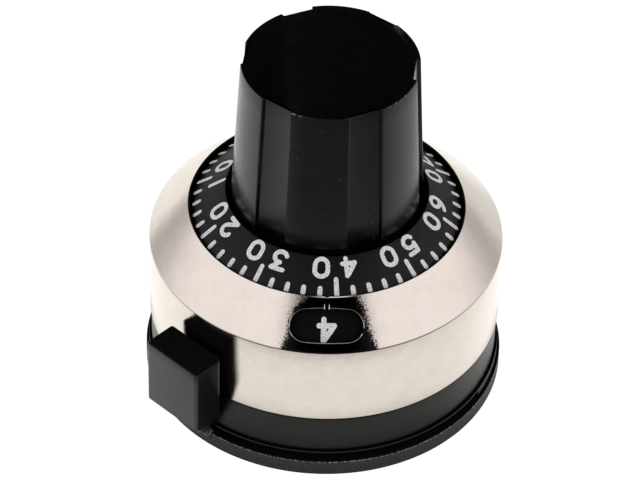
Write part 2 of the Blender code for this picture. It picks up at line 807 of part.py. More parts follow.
def make_brake_lever(parent, finish):
    """The flat ring under the flange, with the finger tab that rises beside the bezel."""
    ring = swept(lever_ring_section, ROUND)
    lever = add_object("brake_lever", ring, parent, finish)
    heights = [RING_BOTTOM + FIT_GAP, ARM_LEAN_START, ARM_STEP_START, ARM_STEP_END, TAB_BOTTOM, TAB_TOP]
    tab = lofted([tab_loop(height) for height in heights])
    tab.transform(Matrix.Rotation(LEVER_REST, 4, "Z"))
    combine(lever, helper("lever_tab", tab, parent), "UNION")


def make_brake_shoe(parent, finish):
    """The sliding shoe: the cam pushes its nose, and its hollow end meets the hub's drum."""
    face = HUB_DRUM + CAM_FALL + SHOE_CLEARANCE
    half = SHOE_WIDTH / 2
    reach = math.asin(half / face)
    outline = []
    for i in range(9):
        turn = -reach + 2 * reach * i / 8
        outline.append((face * math.cos(turn), face * math.sin(turn)))
    nose = SHOE_NOSE_WIDTH / 2
    shoulder = CAM_RADIUS - SHOE_NOSE_LENGTH
    tip = CAM_RADIUS - RUNNING_GAP - PRESS_GAP
    outline += [(shoulder, half), (tip, nose), (tip, -nose), (shoulder, -half)]
    shoe = prism(outline, SHOE_BOTTOM, SHOE_TOP)
    shoe.transform(Matrix.Rotation(SHOE_ANGLE, 4, "Z"))
    add_object("brake_shoe", shoe, parent, finish)


def build():
    clear_scene()
    black = material("black_anodised", (0.02, 0.02, 0.021), 0.42, 0.0)
    grip = material("black_grip", (0.018, 0.018, 0.019), 0.38, 0.0)
    nickel = material("bright_nickel", (0.83, 0.80, 0.75), 0.12, 1.0)
    grey = material("grey_moulding", (0.07, 0.07, 0.072), 0.6, 0.0)
    brass = material("brass", (0.66, 0.49, 0.21), 0.3, 1.0)
    steel = material("steel", (0.52, 0.52, 0.53), 0.3, 1.0)
    acetal = material("white_acetal", (0.78, 0.77, 0.73), 0.45, 0.0)

    plane = empty("panel_plane", (0.0, 0.0, LUG_LENGTH))
    knob_axis = empty("knob_axis", (0.0, 0.0, 0.0), plane)
    counter_axis = empty("counter_axis", (0.0, 0.0, 0.0), plane)
    lever_axis = empty("lever_axis", (0.0, 0.0, 0.0), plane)
    shoe_slide = empty("shoe_slide", (0.0, 0.0, 0.0), plane)
    planet_axis = empty("planet_axis", polar(CENTRE_DISTANCE, PLANET_ANGLE), knob_axis)

    make_housing(plane, black)
    make_bezel(plane, nickel)
    make_base_plate(plane, grey)
    make_base_screws(plane, steel)
    make_locating_pin(plane, steel)
    make_hub_bearing(plane, acetal)
    make_thrust_washer(plane, steel)
    make_fixed_gear(plane, brass)

    make_knob(knob_axis, grip)
    make_dial_ring(knob_axis, black)
    make_hub(knob_axis, brass)
    make_set_screws(knob_axis, steel)
    make_planet_pin(knob_axis, steel)
    make_retaining_ring(knob_axis, steel)
    make_planet_clip(knob_axis, steel)

    make_planet_gear(planet_axis, acetal)
    make_counter_gear(counter_axis, acetal)
    make_counter_dial(counter_axis, black)
    make_brake_lever(lever_axis, grey)
    make_brake_shoe(shoe_slide, acetal)


build()
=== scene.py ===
"""Looks of the turns-counting dial: finer surfaces, scale, numerals, materials, light and camera.

Shapes are built in millimetres above the panel face, with the shaft axis as Z, and are placed in
the frame by TO_FRAME. Angles are in degrees, anticlockwise from +X seen from above, and the
window is at -90. Main sizes are read from the frame's own nodes.
"""

import json
import math

import bmesh
import bpy
import numpy as np
from mathutils import Matrix, Vector


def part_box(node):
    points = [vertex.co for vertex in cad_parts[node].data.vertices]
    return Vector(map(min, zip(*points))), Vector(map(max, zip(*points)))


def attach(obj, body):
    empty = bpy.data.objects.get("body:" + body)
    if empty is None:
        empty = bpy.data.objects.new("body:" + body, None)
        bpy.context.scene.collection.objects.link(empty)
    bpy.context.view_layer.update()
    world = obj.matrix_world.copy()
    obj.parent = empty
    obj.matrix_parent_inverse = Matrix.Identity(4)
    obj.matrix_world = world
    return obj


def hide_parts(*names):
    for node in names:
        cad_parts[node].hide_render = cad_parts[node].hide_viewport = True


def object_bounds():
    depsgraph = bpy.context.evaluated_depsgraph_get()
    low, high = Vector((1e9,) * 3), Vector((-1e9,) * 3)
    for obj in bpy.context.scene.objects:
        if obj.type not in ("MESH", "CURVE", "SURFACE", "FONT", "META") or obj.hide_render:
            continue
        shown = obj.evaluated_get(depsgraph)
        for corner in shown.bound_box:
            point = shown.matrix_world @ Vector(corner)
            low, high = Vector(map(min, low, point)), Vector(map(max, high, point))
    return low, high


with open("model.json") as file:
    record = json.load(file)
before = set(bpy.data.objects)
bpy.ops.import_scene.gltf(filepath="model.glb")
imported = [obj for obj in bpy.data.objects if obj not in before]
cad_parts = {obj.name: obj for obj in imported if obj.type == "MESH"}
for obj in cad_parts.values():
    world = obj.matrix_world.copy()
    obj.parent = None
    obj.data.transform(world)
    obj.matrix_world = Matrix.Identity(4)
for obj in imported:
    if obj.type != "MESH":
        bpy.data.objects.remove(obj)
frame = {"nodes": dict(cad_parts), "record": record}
cad_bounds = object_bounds()

MM = 0.001
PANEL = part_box("base_plate")[0].z
TO_FRAME = Matrix.Translation((0.0, 0.0, PANEL)) @ Matrix.Scale(MM, 4)


def bottom(node):
    return (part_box(node)[0].z - PANEL) / MM


def top(node):
    return (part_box(node)[1].z - PANEL) / MM


def radius(node):
    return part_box(node)[1].x / MM


# Steps round a full turn: of a fine surface, of the knob's skirt and bore, and of small holes
FINE = 288
ROUND = 96
SET_SCREW_STEPS = 48
SCREW_STEPS = 32

# How far cutters reach past the surfaces that they cut
CUT_UNDER = 1.2
CUT_OVER = 0.3
CUT_CLEAR = 0.35

# Points of a piece that lie closer than this are one point, and edges bent by more stay sharp
MERGE = 1e-5
SHARP_ANGLE = 28.0

# A rounded corner takes no more than this share of the sides next to it
MOST_OF_SIDE = 0.49

# Bezel
BODY_RADIUS = radius("bezel")
BEZEL_BOTTOM = bottom("bezel")
CONE_TOP = top("bezel")
BEZEL_WALL = 0.5
CONE_FOOT = 10.22
RIM_RADIUS = 8.67
RIM_INNER = 8.55
BEZEL_ROUNDING = (0.05, 0.11, 0.10, 0.03, 0.03, 0.0, 0.0)
WINDOW_ANGLE = -90.0
WINDOW_RADIUS = 9.95
WINDOW_WIDTH = 4.54
WINDOW_HEIGHT = 2.04
WINDOW_CHAMFER = 0.022
INDEX_WIDTH = 0.25
INDEX_DEPTH = 0.07
INDEX_MIDDLE_RADIUS = 9.0
INDEX_OVERRUN = 0.1
INDEX_PAINT_GAP = 0.06
INDEX_PAINT_END = RIM_RADIUS + 0.04
INDEX_PAINT_BELOW = 0.01
INDEX_PAINT_RISE = 0.045

# Turns ring under the window
COUNTER_RADIUS = radius("counter_dial")
COUNTER_BOTTOM = bottom("counter_dial")
COUNTER_TOP = top("counter_dial")
COUNTER_FOOT = 10.02
COUNTER_INNER = 8.7
COUNTER_ROUNDING = (0.0, 0.03, 0.05, 0.05)
TURNS_SHOWN = 4
TURNS_STEP = 24.0
TURNS_COUNT = 15
TURNS_BASE_RADIUS = 9.06
TURNS_CAP = 1.63
TURNS_STROKE = 0.335
TURNS_OFFSET = 0.1
TURNS_DIGIT_TURN = 4.2

# Dial ring
DIAL_RADIUS = radius("dial_ring")
DIAL_TOP = top("dial_ring")
DIAL_EDGE = 12.32
DIAL_INNER = 6.15
DIAL_THICKNESS = 0.7
DIAL_SEAT = bottom("dial_ring")
DIAL_HOLLOW = 7.5
DIAL_BEVEL = 0.16
DIAL_BEVEL_DROP = 0.34
DIAL_ROUNDING = (0.0, 0.0, 0.0, 0.05, 0.06, 0.05, 0.08)
DIVISIONS = 50
DIVISIONS_TO_LONG_TICK = 5
SCALE_LENGTH = 100.0
SCALE_ANGLE = -85.85
SCALE_VALUE = 40.0
DEGREES_PER_VALUE = 3.6
TICK_OUTER = 8.39
LONG_TICK_INNER = 7.38
SHORT_TICK_INNER = 7.84
TICK_WIDTH = 0.31
NUMERAL_BASE_RADIUS = 6.36
NUMERAL_CAP = 1.37
NUMERAL_STROKE = 0.28
TENS_OFFSET = 6.9
UNITS_OFFSET = -7.1

# Knob
KNOB_TOP = top("knob")
KNOB_EDGE = 0.06
KNOB_EDGE_TURNS = (0.0, 0.55, 1.1, 1.5707)
GRIP_TOP_RADIUS = 5.47
GRIP_FOOT_RADIUS = 6.0
GRIP_FOOT = 14.0
GRIP_LEVELS = 8
SKIRT_RADIUS = radius("knob")
SKIRT_BOTTOM = bottom("knob")
SKIRT_TOP = 12.3
SKIRT_OVERLAP = 0.3
FLUTES = 6
FLUTE_ANGLE = -7.2
FLUTE_HALF_ANGLE = 10.7
FLUTE_DEPTH = 0.33
FLUTE_FLOOR_SHARE = 0.985
FLUTE_ROUNDING = (0.08, 0.04, 0.04, 0.08)
LAND_STEPS = 16
HUB_RADIUS = 4.65
BORE_BOTTOM = SKIRT_BOTTOM - 1.0
BORE_TOP = top("hub") + 0.1
SET_SCREW_HEIGHT = 15.2
SET_SCREW_HOLE = 1.6
SET_SCREW_START = 3.2
SET_SCREW_SINK_START = 5.52
SET_SCREW_SINK = 0.9
SET_SCREW_ANGLES = (52.8, 112.8)

# Housing
FLANGE_RADIUS = radius("housing")
FLOOR_BOTTOM = bottom("housing")
SLEEVE_TOP = top("housing")
FLOOR_TOP = 2.4
FLANGE_TOP = 1.86
BAND_RADIUS = 11.0
BAND_TOP = 4.52
SLEEVE_OUTER = 10.5
SLEEVE_BORE = 10.0
BEARING_SEAT = 5.05
HOUSING_ROUNDING = (0.0, 0.06, 0.03, 0.0, 0.12, 0.0, 0.05, 0.05, 0.0, 0.0)
SLOT_INNER = 10.25
SLOT_TOP = 1.75
SLOT_OUTER = 12.0
SLOT_START = -141.8
SLOT_END = -28.8
SCREW_ANGLES = (30.0, 150.0, 270.0)
SCREW_CIRCLE = 6.9
SCREW_HOLE = 0.75
SCREW_HOLE_ENDS = (0.9, 2.15)

# Brake lever
LEVER_REST = -134.3
RING_RADIUS = radius("brake_lever")
RING_BOTTOM = bottom("brake_lever")
RING_TOP = 1.15
RING_STEP = 0.62
RING_STEP_RADIUS = 9.5
RING_ROUNDING = (0.0, 0.05, 0.05, 0.08, 0.07, 0.0)
CAM_RADIUS = 8.95
CAM_FALL = 0.35
CAM_START = 90.0
CAM_TRAVEL = 98.0
CAM_LEAD_IN = 14.0
TAB_BACK = 11.3
TAB_FRONT = 13.52
TAB_HALF_WIDTH = 2.21
TAB_BOTTOM = 3.46
TAB_TOP = top("brake_lever")
TAB_ROUNDING = (0.15, 0.24, 0.24, 0.45)
TAB_CROWN = 0.16
TAB_CROWN_TURNS = (0.0, 0.4, 0.8, 1.2, 1.5707)
TAB_FACE_ENDS = (TAB_BOTTOM + 0.1, TAB_TOP - 0.8)
ARM_FOOT = RING_BOTTOM + 0.1
ARM_BACK = 10.75
ARM_FRONT = 11.3
ARM_HALF_WIDTH = 1.25
ARM_LEAN_START = 0.6
ARM_STEP_START = 1.05
ARM_STEP_END = 1.6
ARM_FLARE_STEPS = 6

# Painted shade round the window, a dark bloom that stands in for a reflection: its middle and half width,
# each at the rim and further out, its soft edge, and the swell in it, with the radii where the swell
# starts, is largest and ends
SHADE_MIDDLE = (0.4, 0.18)
SHADE_REACH = (1.5, 3.0)
SHADE_EDGE = 0.34
SHADE_SWELL = 0.3
SHADE_SWELL_RADII = (RIM_RADIUS, 9.25, BODY_RADIUS - 0.6)
SHADE_STRENGTH = 0.985
SHADE_FOOT = (CONE_FOOT - 0.12, CONE_FOOT - 0.06)

# Painted glints, glowing as emission, on the window's bevel, the rim and the index groove's edges. A
# tuple says where a smooth step starts and ends, with its levels after that where they aren't 0 and 1.
GLINT_COLOUR = (0.9, 0.88, 0.84, 1.0)
BEVEL_GLINT = 0.32
EDGE_GLINT = 0.8
OUTER_EDGE = (BODY_RADIUS - 0.25, BODY_RADIUS - 0.15)
FLAT_LEAN = (0.05, 0.12)
WALL_SOFTNESS = 0.015
BEVEL_DARKNESS = (0.0, 0.6, 0.82, 0.0)
RIM_GLINT_REACH = (-0.05, 0.0, 0.0, 0.05)
RIM_GLINT_FADE = (0.5, 1.5, 0.1)
GROOVE_GLINT_WIDTH = (0.08, 0.11, 0.15, 0.18)
GROOVE_GLINT_REACH = (-0.28, -0.14, 0.0, 0.03)

# Numerals and ticks: top and underside of the paint, off the surface it lies in
PAINT_TOP = 0.008
PAINT_FOOT = -0.03


class Cone:
    """A cone round Z that rises inwards, given by two (radius, height) points."""

    def __init__(self, outer, inner):
        self.outer = outer
        self.tilt = math.atan2(inner[1] - outer[1], outer[0] - inner[0])

    def at(self, angle, distance, off=0.0):
        """A point at this radius of the surface, moved off along the normal."""
        cosine, sine = math.cos(self.tilt), math.sin(self.tilt)
        height = self.outer[1] + (self.outer[0] - distance) * sine / cosine
        return polar(distance + off * sine, angle, height + off * cosine)


def polar(distance, degrees, height=0.0):
    turn = math.radians(degrees)
    return Vector((distance * math.cos(turn), distance * math.sin(turn), height))


BEZEL_CONE = Cone((BODY_RADIUS, CONE_FOOT), (RIM_RADIUS, CONE_TOP))
DIAL_CONE = Cone((DIAL_RADIUS, DIAL_EDGE), (DIAL_INNER, DIAL_TOP))
COUNTER_CONE = Cone((COUNTER_RADIUS, COUNTER_FOOT), (COUNTER_INNER, COUNTER_TOP))


def above_window(gap):
    """Radius on the cone at this distance up the slope from the window's upper edge."""
    return WINDOW_RADIUS - (WINDOW_HEIGHT / 2 + gap) * math.cos(BEZEL_CONE.tilt)


# Mesh helpers


def rounded(points, radii, steps=5):
    """A closed outline whose corners become arcs of the given radii."""
    made = []
    for i, (point, size) in enumerate(zip(points, radii)):
        here = Vector(point)
        if not size:
            made.append(here)
            continue
        back = Vector(points[i - 1]) - here
        ahead = Vector(points[(i + 1) % len(points)]) - here
        half = back.angle(ahead) / 2
        reach = min(size / math.tan(half), MOST_OF_SIDE * min(back.length, ahead.length))
        arc_radius = reach * math.tan(half)
        first = back.normalized()
        centre = here + (first + ahead.normalized()).normalized() * arc_radius / math.sin(half)
        start = here + first * reach - centre
        end = here + ahead.normalized() * reach - centre
        sweep = math.atan2(start.x * end.y - start.y * end.x, start.dot(end))
        for k in range(steps + 1):
            turn = Matrix.Rotation(sweep * k / steps, 2)
            made.append(centre + turn @ start)
    return made


def swept(section_at, segments, start=0.0, sweep=360.0):
    """A bmesh swept round Z from the closed (radius, height) section at each angle."""
    bm = bmesh.new()
    full = sweep == 360.0
    stations = segments if full else segments + 1
    loops = []
    for i in range(stations):
        angle = start + sweep * i / segments
        loops.append([bm.verts.new(polar(r, angle, z)) for r, z in section_at(angle)])
    for i in range(segments):
        near, far = loops[i], loops[(i + 1) % stations]
        for k in range(len(near)):
            after = (k + 1) % len(near)
            bm.faces.new((near[k], near[after], far[after], far[k]))
    if not full:
        bm.faces.new(loops[0])
        bm.faces.new(list(reversed(loops[-1])))
    return bm


def turned(points, radii):
    """A full turn of one closed (radius, height) outline with rounded corners."""
    section = rounded(points, radii)
    return swept(lambda angle: section, FINE)


def lofted(loops):
    """A bmesh skinned over loops of equal length, closed by a cap at each end."""
    bm = bmesh.new()
    rings = [[bm.verts.new(point) for point in loop] for loop in loops]
    for low, high in zip(rings, rings[1:]):
        for k in range(len(low)):
            after = (k + 1) % len(low)
            bm.faces.new((low[k], low[after], high[after], high[k]))
    bm.faces.new(list(reversed(rings[0])))
    bm.faces.new(rings[-1])
    return bm


def add_object(name, data):
    made = bpy.data.objects.new(name, data)
    bpy.context.scene.collection.objects.link(made)
    return made


def add_mesh(name, bm):
    """A new object in the scene whose mesh is the bmesh, which is used up."""
    mesh = bpy.data.meshes.new(name)
    bm.to_mesh(mesh)
    bm.free()
    return add_object(name, mesh)


def scratch(bm):
    """A temporary object that takes part in a Boolean, with all its faces cut into triangles."""
    bmesh.ops.triangulate(bm, faces=bm.faces)
    bmesh.ops.recalc_face_normals(bm, faces=bm.faces)
    return add_mesh("scratch", bm)


def boolean(bm, tools, operation="DIFFERENCE"):
    """Applies the tools to the solid with the exact Boolean and returns the result."""
    target = scratch(bm)
    others = [scratch(tool) for tool in tools]
    for other in others:
        step = target.modifiers.new("step", "BOOLEAN")
        step.operation = operation
        step.solver = "EXACT"
        step.object = other
    bpy.context.view_layer.update()
    made = bmesh.new()
    made.from_object(target, bpy.context.evaluated_depsgraph_get())
    for obj in [target, *others]:
        bpy.data.objects.remove(obj, do_unlink=True)
    return made


def piece(name, bm, body, finish, slot, *nodes):
    """Places a finished solid in the frame as a piece that rides on a body."""
    bmesh.ops.remove_doubles(bm, verts=bm.verts, dist=MERGE)
    bmesh.ops.recalc_face_normals(bm, faces=bm.faces)
    bm.transform(TO_FRAME)
    made = add_mesh(name, bm)
    made.data.shade_smooth()
    made.data.set_sharp_from_angle(angle=math.radians(SHARP_ANGLE))
    made.data.materials.append(finish)
    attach(made, body)
    if nodes:
        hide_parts(*nodes)


# Numerals: centre lines in units of their height, thickened by a round pen


def arc(cx, cy, rx, ry, start, end, steps=20):
    turns = [math.radians(start + (end - start) * i / steps) for i in range(steps + 1)]
    return [(cx + rx * math.cos(turn), cy + ry * math.sin(turn)) for turn in turns]


def bow(first, control, last, steps=12):
    """A curve from first to last that leans towards control."""
    first, control, last = Vector(first), Vector(control), Vector(last)
    shares = [i / steps for i in range(steps + 1)]
    return [first.lerp(control, t).lerp(control.lerp(last, t), t) for t in shares]


SIX = [arc(0.36, 0.31, 0.36, 0.31, 0, 360, 28), bow((0.0, 0.33), (0.02, 0.82), (0.52, 1.0))]
NUMERALS = {
    "0": [arc(0.36, 0.64, 0.36, 0.36, 0, 180) + arc(0.36, 0.36, 0.36, 0.36, 180, 360) + [(0.72, 0.64)]],
    "1": [[(0.36, 0.0), (0.36, 1.0)]],
    "2": [arc(0.35, 0.67, 0.34, 0.33, 165, -38) + [(0.0, 0.0), (0.72, 0.0)]],
    "3": [[(0.02, 1.0), (0.68, 1.0), (0.30, 0.61)] + arc(0.33, 0.31, 0.37, 0.31, 95, -155)],
    "4": [[(0.50, 0.0), (0.50, 1.0), (0.0, 0.30), (0.72, 0.30)]],
    "5": [[(0.66, 1.0), (0.10, 1.0), (0.05, 0.53)] + arc(0.33, 0.33, 0.37, 0.33, 138, -150)],
    "6": SIX,
    "7": [[(0.0, 1.0), (0.72, 1.0), (0.26, 0.0)]],
    "8": [arc(0.36, 0.755, 0.29, 0.245, 0, 360, 28), arc(0.36, 0.265, 0.36, 0.265, 0, 360, 28)],
    "9": [[(0.72 - x, 1.0 - y) for x, y in stroke] for stroke in SIX],
}

# Width of a numeral as a share of its height, and size of the cells that it is built from
NUMERAL_SHARE = 0.72
CELL = 0.033


def glyph(strokes, cap, pen):
    """The numeral as flat cells cut off at its outline: their points and faces."""
    scale = cap - pen
    spans = [span for stroke in strokes for span in zip(stroke, stroke[1:])]
    starts = np.array([start for start, end in spans]) * scale
    spans = np.array([end for start, end in spans]) * scale - starts
    xs = np.arange(-pen, NUMERAL_SHARE * scale + pen, CELL)
    ys = np.arange(-pen, scale + pen, CELL)
    grid = np.stack(np.meshgrid(xs, ys, indexing="ij"), axis=-1)[:, :, None, :]
    share = ((grid - starts) * spans).sum(-1) / np.maximum((spans**2).sum(-1), 1e-12)
    nearest = starts + np.clip(share, 0, 1)[..., None] * spans
    field = np.linalg.norm(grid - nearest, axis=-1).min(-1) - pen / 2
    shift = Vector((-NUMERAL_SHARE * scale / 2, pen / 2))
    points, index, faces = [], {}, []

    def corner(key):
        if key not in index:
            index[key] = len(points)
            points.append(Vector((xs[key[0]], ys[key[1]])) + shift)
        return index[key]

    def crossing(a, b):
        key = (min(a, b), max(a, b))
        if key not in index:
            index[key] = len(points)
            t = field[a] / (field[a] - field[b])
            start, end = Vector((xs[a[0]], ys[a[1]])), Vector((xs[b[0]], ys[b[1]]))
            points.append(start.lerp(end, float(t)) + shift)
        return index[key]

    for i in range(len(xs) - 1):
        for j in range(len(ys) - 1):
            corners = [(i, j), (i + 1, j), (i + 1, j + 1), (i, j + 1)]
            inside = [field[c] < 0 for c in corners]
            if not any(inside):
                continue
            face = []
            for k in range(4):
                after = (k + 1) % 4
                if inside[k]:
                    face.append(corner(corners[k]))
                if inside[k] != inside[after]:
                    face.append(crossing(corners[k], corners[after]))
            faces.append(face)
    return points, faces


def numeral_shapes(cap, pen):
    return {key: glyph(strokes, cap, pen) for key, strokes in NUMERALS.items()}


def bar(length, width, steps=6):
    """A flat bar from the origin along +Y with one face and round ends."""
    half = width / 2
    points = []
    for centre, start in ((length - half, 0.0), (half, 180.0)):
        for k in range(steps + 1):
            turn = math.radians(start + 180.0 * k / steps)
            points.append(Vector((half * math.cos(turn), centre + half * math.sin(turn))))
    return points, [list(range(len(points)))]


def inlay(bm, shape, cone, angle, base_radius, middle_radius):
    """Lays a flat shape on a cone with its top outwards, as a thin solid of paint."""
    points, faces = shape
    cosine = math.cos(cone.tilt)
    levels = []
    for off in (PAINT_TOP, PAINT_FOOT):
        level = []
        for x, y in points:
            turn = angle - math.degrees(x / middle_radius)
            level.append(bm.verts.new(cone.at(turn, base_radius + y * cosine, off)))
        levels.append(level)
    upper, lower = levels
    edges = {}
    for face in faces:
        bm.faces.new([upper[k] for k in face])
        bm.faces.new([lower[k] for k in reversed(face)])
        for a, b in zip(face, face[1:] + face[:1]):
            edges[(a, b)] = True
    for a, b in edges:
        if (b, a) not in edges:
            bm.faces.new((upper[b], upper[a], lower[a], lower[b]))


# Material helpers: lengths, heights over the panel and bump depths are in millimetres


def put(tree, kind, inputs=None, **settings):
    """Adds a node, sets its inputs by name or number, and links the ones given as sockets."""
    node = tree.nodes.new(kind)
    for name, value in settings.items():
        setattr(node, name, value)
    for key, value in (inputs or {}).items():
        if isinstance(value, bpy.types.NodeSocket):
            tree.links.new(value, node.inputs[key])
        else:
            node.inputs[key].default_value = value
    return node


def math_node(tree, operation, *values):
    return put(tree, "ShaderNodeMath", dict(enumerate(values)), operation=operation).outputs[0]


def plus(tree, first, second):
    return math_node(tree, "ADD", first, second)


def minus(tree, first, second):
    return math_node(tree, "SUBTRACT", first, second)


def product(tree, first, *others):
    for other in others:
        first = math_node(tree, "MULTIPLY", first, other)
    return first


def larger(tree, first, second):
    return math_node(tree, "MAXIMUM", first, second)


def without(tree, share):
    """What the share leaves of 1."""
    return minus(tree, 1.0, share)


def map_range(tree, value, low, high, to_low, to_high, smooth=True):
    inputs = {0: value, 1: low, 2: high, 3: to_low, 4: to_high}
    kind = "SMOOTHSTEP" if smooth else "LINEAR"
    return put(tree, "ShaderNodeMapRange", inputs, interpolation_type=kind).outputs[0]


def rising(tree, value, low, high, most=1.0):
    """Goes smoothly from 0 to most as the value goes from low to high."""
    return map_range(tree, value, low, high, 0.0, most)


def falling(tree, value, low, high, least=0.0):
    """Goes smoothly from 1 to least as the value goes from low to high."""
    return map_range(tree, value, low, high, 1.0, least)


def band(tree, value, start, full, last, end):
    """Rises to 1 from start to full, and falls back to 0 from last to end."""
    return product(tree, rising(tree, value, start, full), falling(tree, value, last, end))


def millimetres(tree):
    """Coordinates of the object in millimetres."""
    place = put(tree, "ShaderNodeTexCoord").outputs["Object"]
    inputs = {0: place, 3: 1 / MM}
    return put(tree, "ShaderNodeVectorMath", inputs, operation="SCALE").outputs[0]


def separate(tree, place):
    return put(tree, "ShaderNodeSeparateXYZ", {0: place}).outputs


def over_panel(tree, place):
    """Height above the panel face."""
    return minus(tree, separate(tree, place)[2], PANEL / MM)


def from_axis(tree, place):
    """Distance from the shaft axis."""
    x, y, _ = separate(tree, place)
    return math_node(tree, "SQRT", plus(tree, product(tree, x, x), product(tree, y, y)))


def round_axis(tree, place, along):
    """Coordinates wrapped round the shaft axis: angle, stretched along the turn, radius and height."""
    x, y, z = separate(tree, place)
    turn = math_node(tree, "ARCTAN2", y, x)
    inputs = {0: product(tree, turn, along), 1: from_axis(tree, place), 2: z}
    return put(tree, "ShaderNodeCombineXYZ", inputs).outputs[0]


def towards(tree, way, axis):
    """Cosine of the angle between a direction and an axis."""
    inputs = {0: way, 1: axis.normalized()}
    return put(tree, "ShaderNodeVectorMath", inputs, operation="DOT_PRODUCT").outputs["Value"]


def upward(tree):
    """The vertical part of the surface's direction."""
    return separate(tree, put(tree, "ShaderNodeNewGeometry").outputs["Normal"])[2]


def noise(tree, place, scale, detail, roughness):
    inputs = {"Vector": place, "Scale": scale, "Detail": detail, "Roughness": roughness}
    return put(tree, "ShaderNodeTexNoise", inputs).outputs[0]


def blend(tree, share, first, second):
    """Mixes two colours, each given as a colour or a socket."""
    node = put(tree, "ShaderNodeMix", data_type="RGBA")
    for key, value in ((0, share), (6, first), (7, second)):
        if isinstance(value, bpy.types.NodeSocket):
            tree.links.new(value, node.inputs[key])
        else:
            node.inputs[key].default_value = (*value, 1.0)
    return node.outputs[2]


def bump(tree, height, strength, depth, before=None):
    inputs = {"Strength": strength, "Distance": depth * MM, "Height": height}
    if before:
        inputs["Normal"] = before
    return put(tree, "ShaderNodeBump", inputs).outputs[0]


def material(name):
    """A new material, with its node tree, its shader and the place of each point."""
    made = bpy.data.materials.new(name)
    made.use_nodes = True
    tree = made.node_tree
    return made, tree, tree.nodes["Principled BSDF"], millimetres(tree)


def connect(shader, **sockets):
    """Sets the shader's inputs, whose names are written with _ for a space."""
    for name, value in sockets.items():
        target = shader.inputs[name.replace("_", " ")]
        if isinstance(value, bpy.types.NodeSocket):
            shader.id_data.links.new(value, target)
        else:
            target.default_value = value


# Materials: each noise is given as cells to the millimetre, detail and roughness


def nickel_plate():
    """Bright nickel, drawn lightly round the axis and hazy in patches, with dark painted shade round the
    window and painted glints on its edges.
    """
    made, tree, shader, place = material("nickel_plate")
    clean, hazy, dark = (0.80, 0.735, 0.68), (0.76, 0.70, 0.635), (0.001,) * 3
    lines = noise(tree, round_axis(tree, place, 0.6), 14.0, 4.0, 0.7)
    haze = noise(tree, place, 0.9, 4.0, 0.6)
    grain = noise(tree, place, 19.0, 2.0, 0.6)
    shade, glint = window_looks(tree, place)
    colour = blend(tree, rising(tree, haze, 0.35, 0.7), clean, hazy)
    # Painted shade takes the plate to near black round the window.
    colour = blend(tree, shade, colour, dark)
    spread = map_range(tree, haze, 0.3, 0.7, 0.045, 0.085)
    spread = plus(tree, spread, rising(tree, lines, 0.35, 0.7, 0.03))
    relief = bump(tree, lines, 0.12, 0.02)
    relief = bump(tree, grain, 0.22, 0.02, relief)
    connect(shader, Base_Color=colour, Metallic=1.0, Roughness=spread, Normal=relief)
    # The painted glints glow as emission.
    connect(shader, Emission_Color=GLINT_COLOUR, Emission_Strength=glint)
    return made


def window_bloom(tree, place):
    """The painted dark bloom round the window, a painted reflection: how far aside of its middle a point
    lies, and its share there.
    """
    distance = from_axis(tree, place)
    start, full, end = SHADE_SWELL_RADII
    swell = band(tree, distance, start, full, full, end)
    middle = map_range(tree, distance, RIM_RADIUS, WINDOW_RADIUS, *SHADE_MIDDLE, smooth=False)
    middle = minus(tree, middle, product(tree, swell, SHADE_SWELL / 2))
    reach = map_range(tree, distance, RIM_RADIUS, BODY_RADIUS, *SHADE_REACH, smooth=False)
    reach = plus(tree, reach, product(tree, swell, SHADE_SWELL))
    aside = math_node(tree, "ABSOLUTE", minus(tree, separate(tree, place)[0], middle))
    speckle = noise(tree, place, 8.0, 3.0, 0.7)
    grain = map_range(tree, speckle, 0.25, 0.75, -SHADE_EDGE, SHADE_EDGE, smooth=False)
    edge = plus(tree, minus(tree, aside, reach), grain)
    return aside, falling(tree, edge, -SHADE_EDGE / 2, SHADE_EDGE / 2)


def window_looks(tree, place):
    """The painted shade round the window, and the strength of the painted glints on the edges there."""
    x, y, _ = separate(tree, place)
    distance = from_axis(tree, place)
    aside, bloom = window_bloom(tree, place)
    front = falling(tree, y, -1.0, 0.0)
    above = rising(tree, over_panel(tree, place), *SHADE_FOOT)

    # The cone's own surface is told from the window's bevel and wall by its slope.
    sine, cosine = math.sin(BEZEL_CONE.tilt), math.cos(BEZEL_CONE.tilt)
    lean = math_node(tree, "ABSOLUTE", minus(tree, upward(tree), cosine))
    outer_edge = rising(tree, distance, *OUTER_EDGE)
    flat = larger(tree, falling(tree, lean, *FLAT_LEAN), outer_edge)
    painted_bloom_share = product(tree, bloom, front, above, flat)

    # The wall is what lies deeper than the bevel, measured square to the cone.
    level = plus(tree, product(tree, distance, sine), product(tree, over_panel(tree, place), cosine))
    bevel_foot = BODY_RADIUS * sine + CONE_FOOT * cosine - WINDOW_CHAMFER
    wall = falling(tree, level, bevel_foot - WALL_SOFTNESS, bevel_foot)
    past_rim = rising(tree, distance, RIM_RADIUS, RIM_RADIUS + 0.1)
    bevel = product(tree, without(tree, flat), without(tree, wall), front, past_rim)

    # Most of the bevel's upper side, which sees the table, gets painted shade like the window's wall,
    # which leaves a fine painted glint line.
    painted_dark_bevel = product(tree, bevel, map_range(tree, upward(tree), *BEVEL_DARKNESS))
    shade = larger(tree, larger(tree, painted_bloom_share, product(tree, wall, above)), painted_dark_bevel)
    shade = product(tree, shade, SHADE_STRENGTH)
    bevel_glint = product(tree, minus(tree, bevel, painted_dark_bevel), above)

    # The rim above the window and the groove's two edges get painted glints too.
    rim = band(tree, distance, *(RIM_RADIUS + reach for reach in RIM_GLINT_REACH))
    rim = product(tree, rim, bloom, front, falling(tree, aside, *RIM_GLINT_FADE))
    across = band(tree, math_node(tree, "ABSOLUTE", x), *GROOVE_GLINT_WIDTH)
    along = band(tree, distance, *(above_window(0.0) + reach for reach in GROOVE_GLINT_REACH))
    groove = product(tree, across, along, front)
    edge_glint = plus(tree, rim, groove)
    glint = plus(tree, product(tree, bevel_glint, BEVEL_GLINT), product(tree, edge_glint, EDGE_GLINT))
    return shade, glint


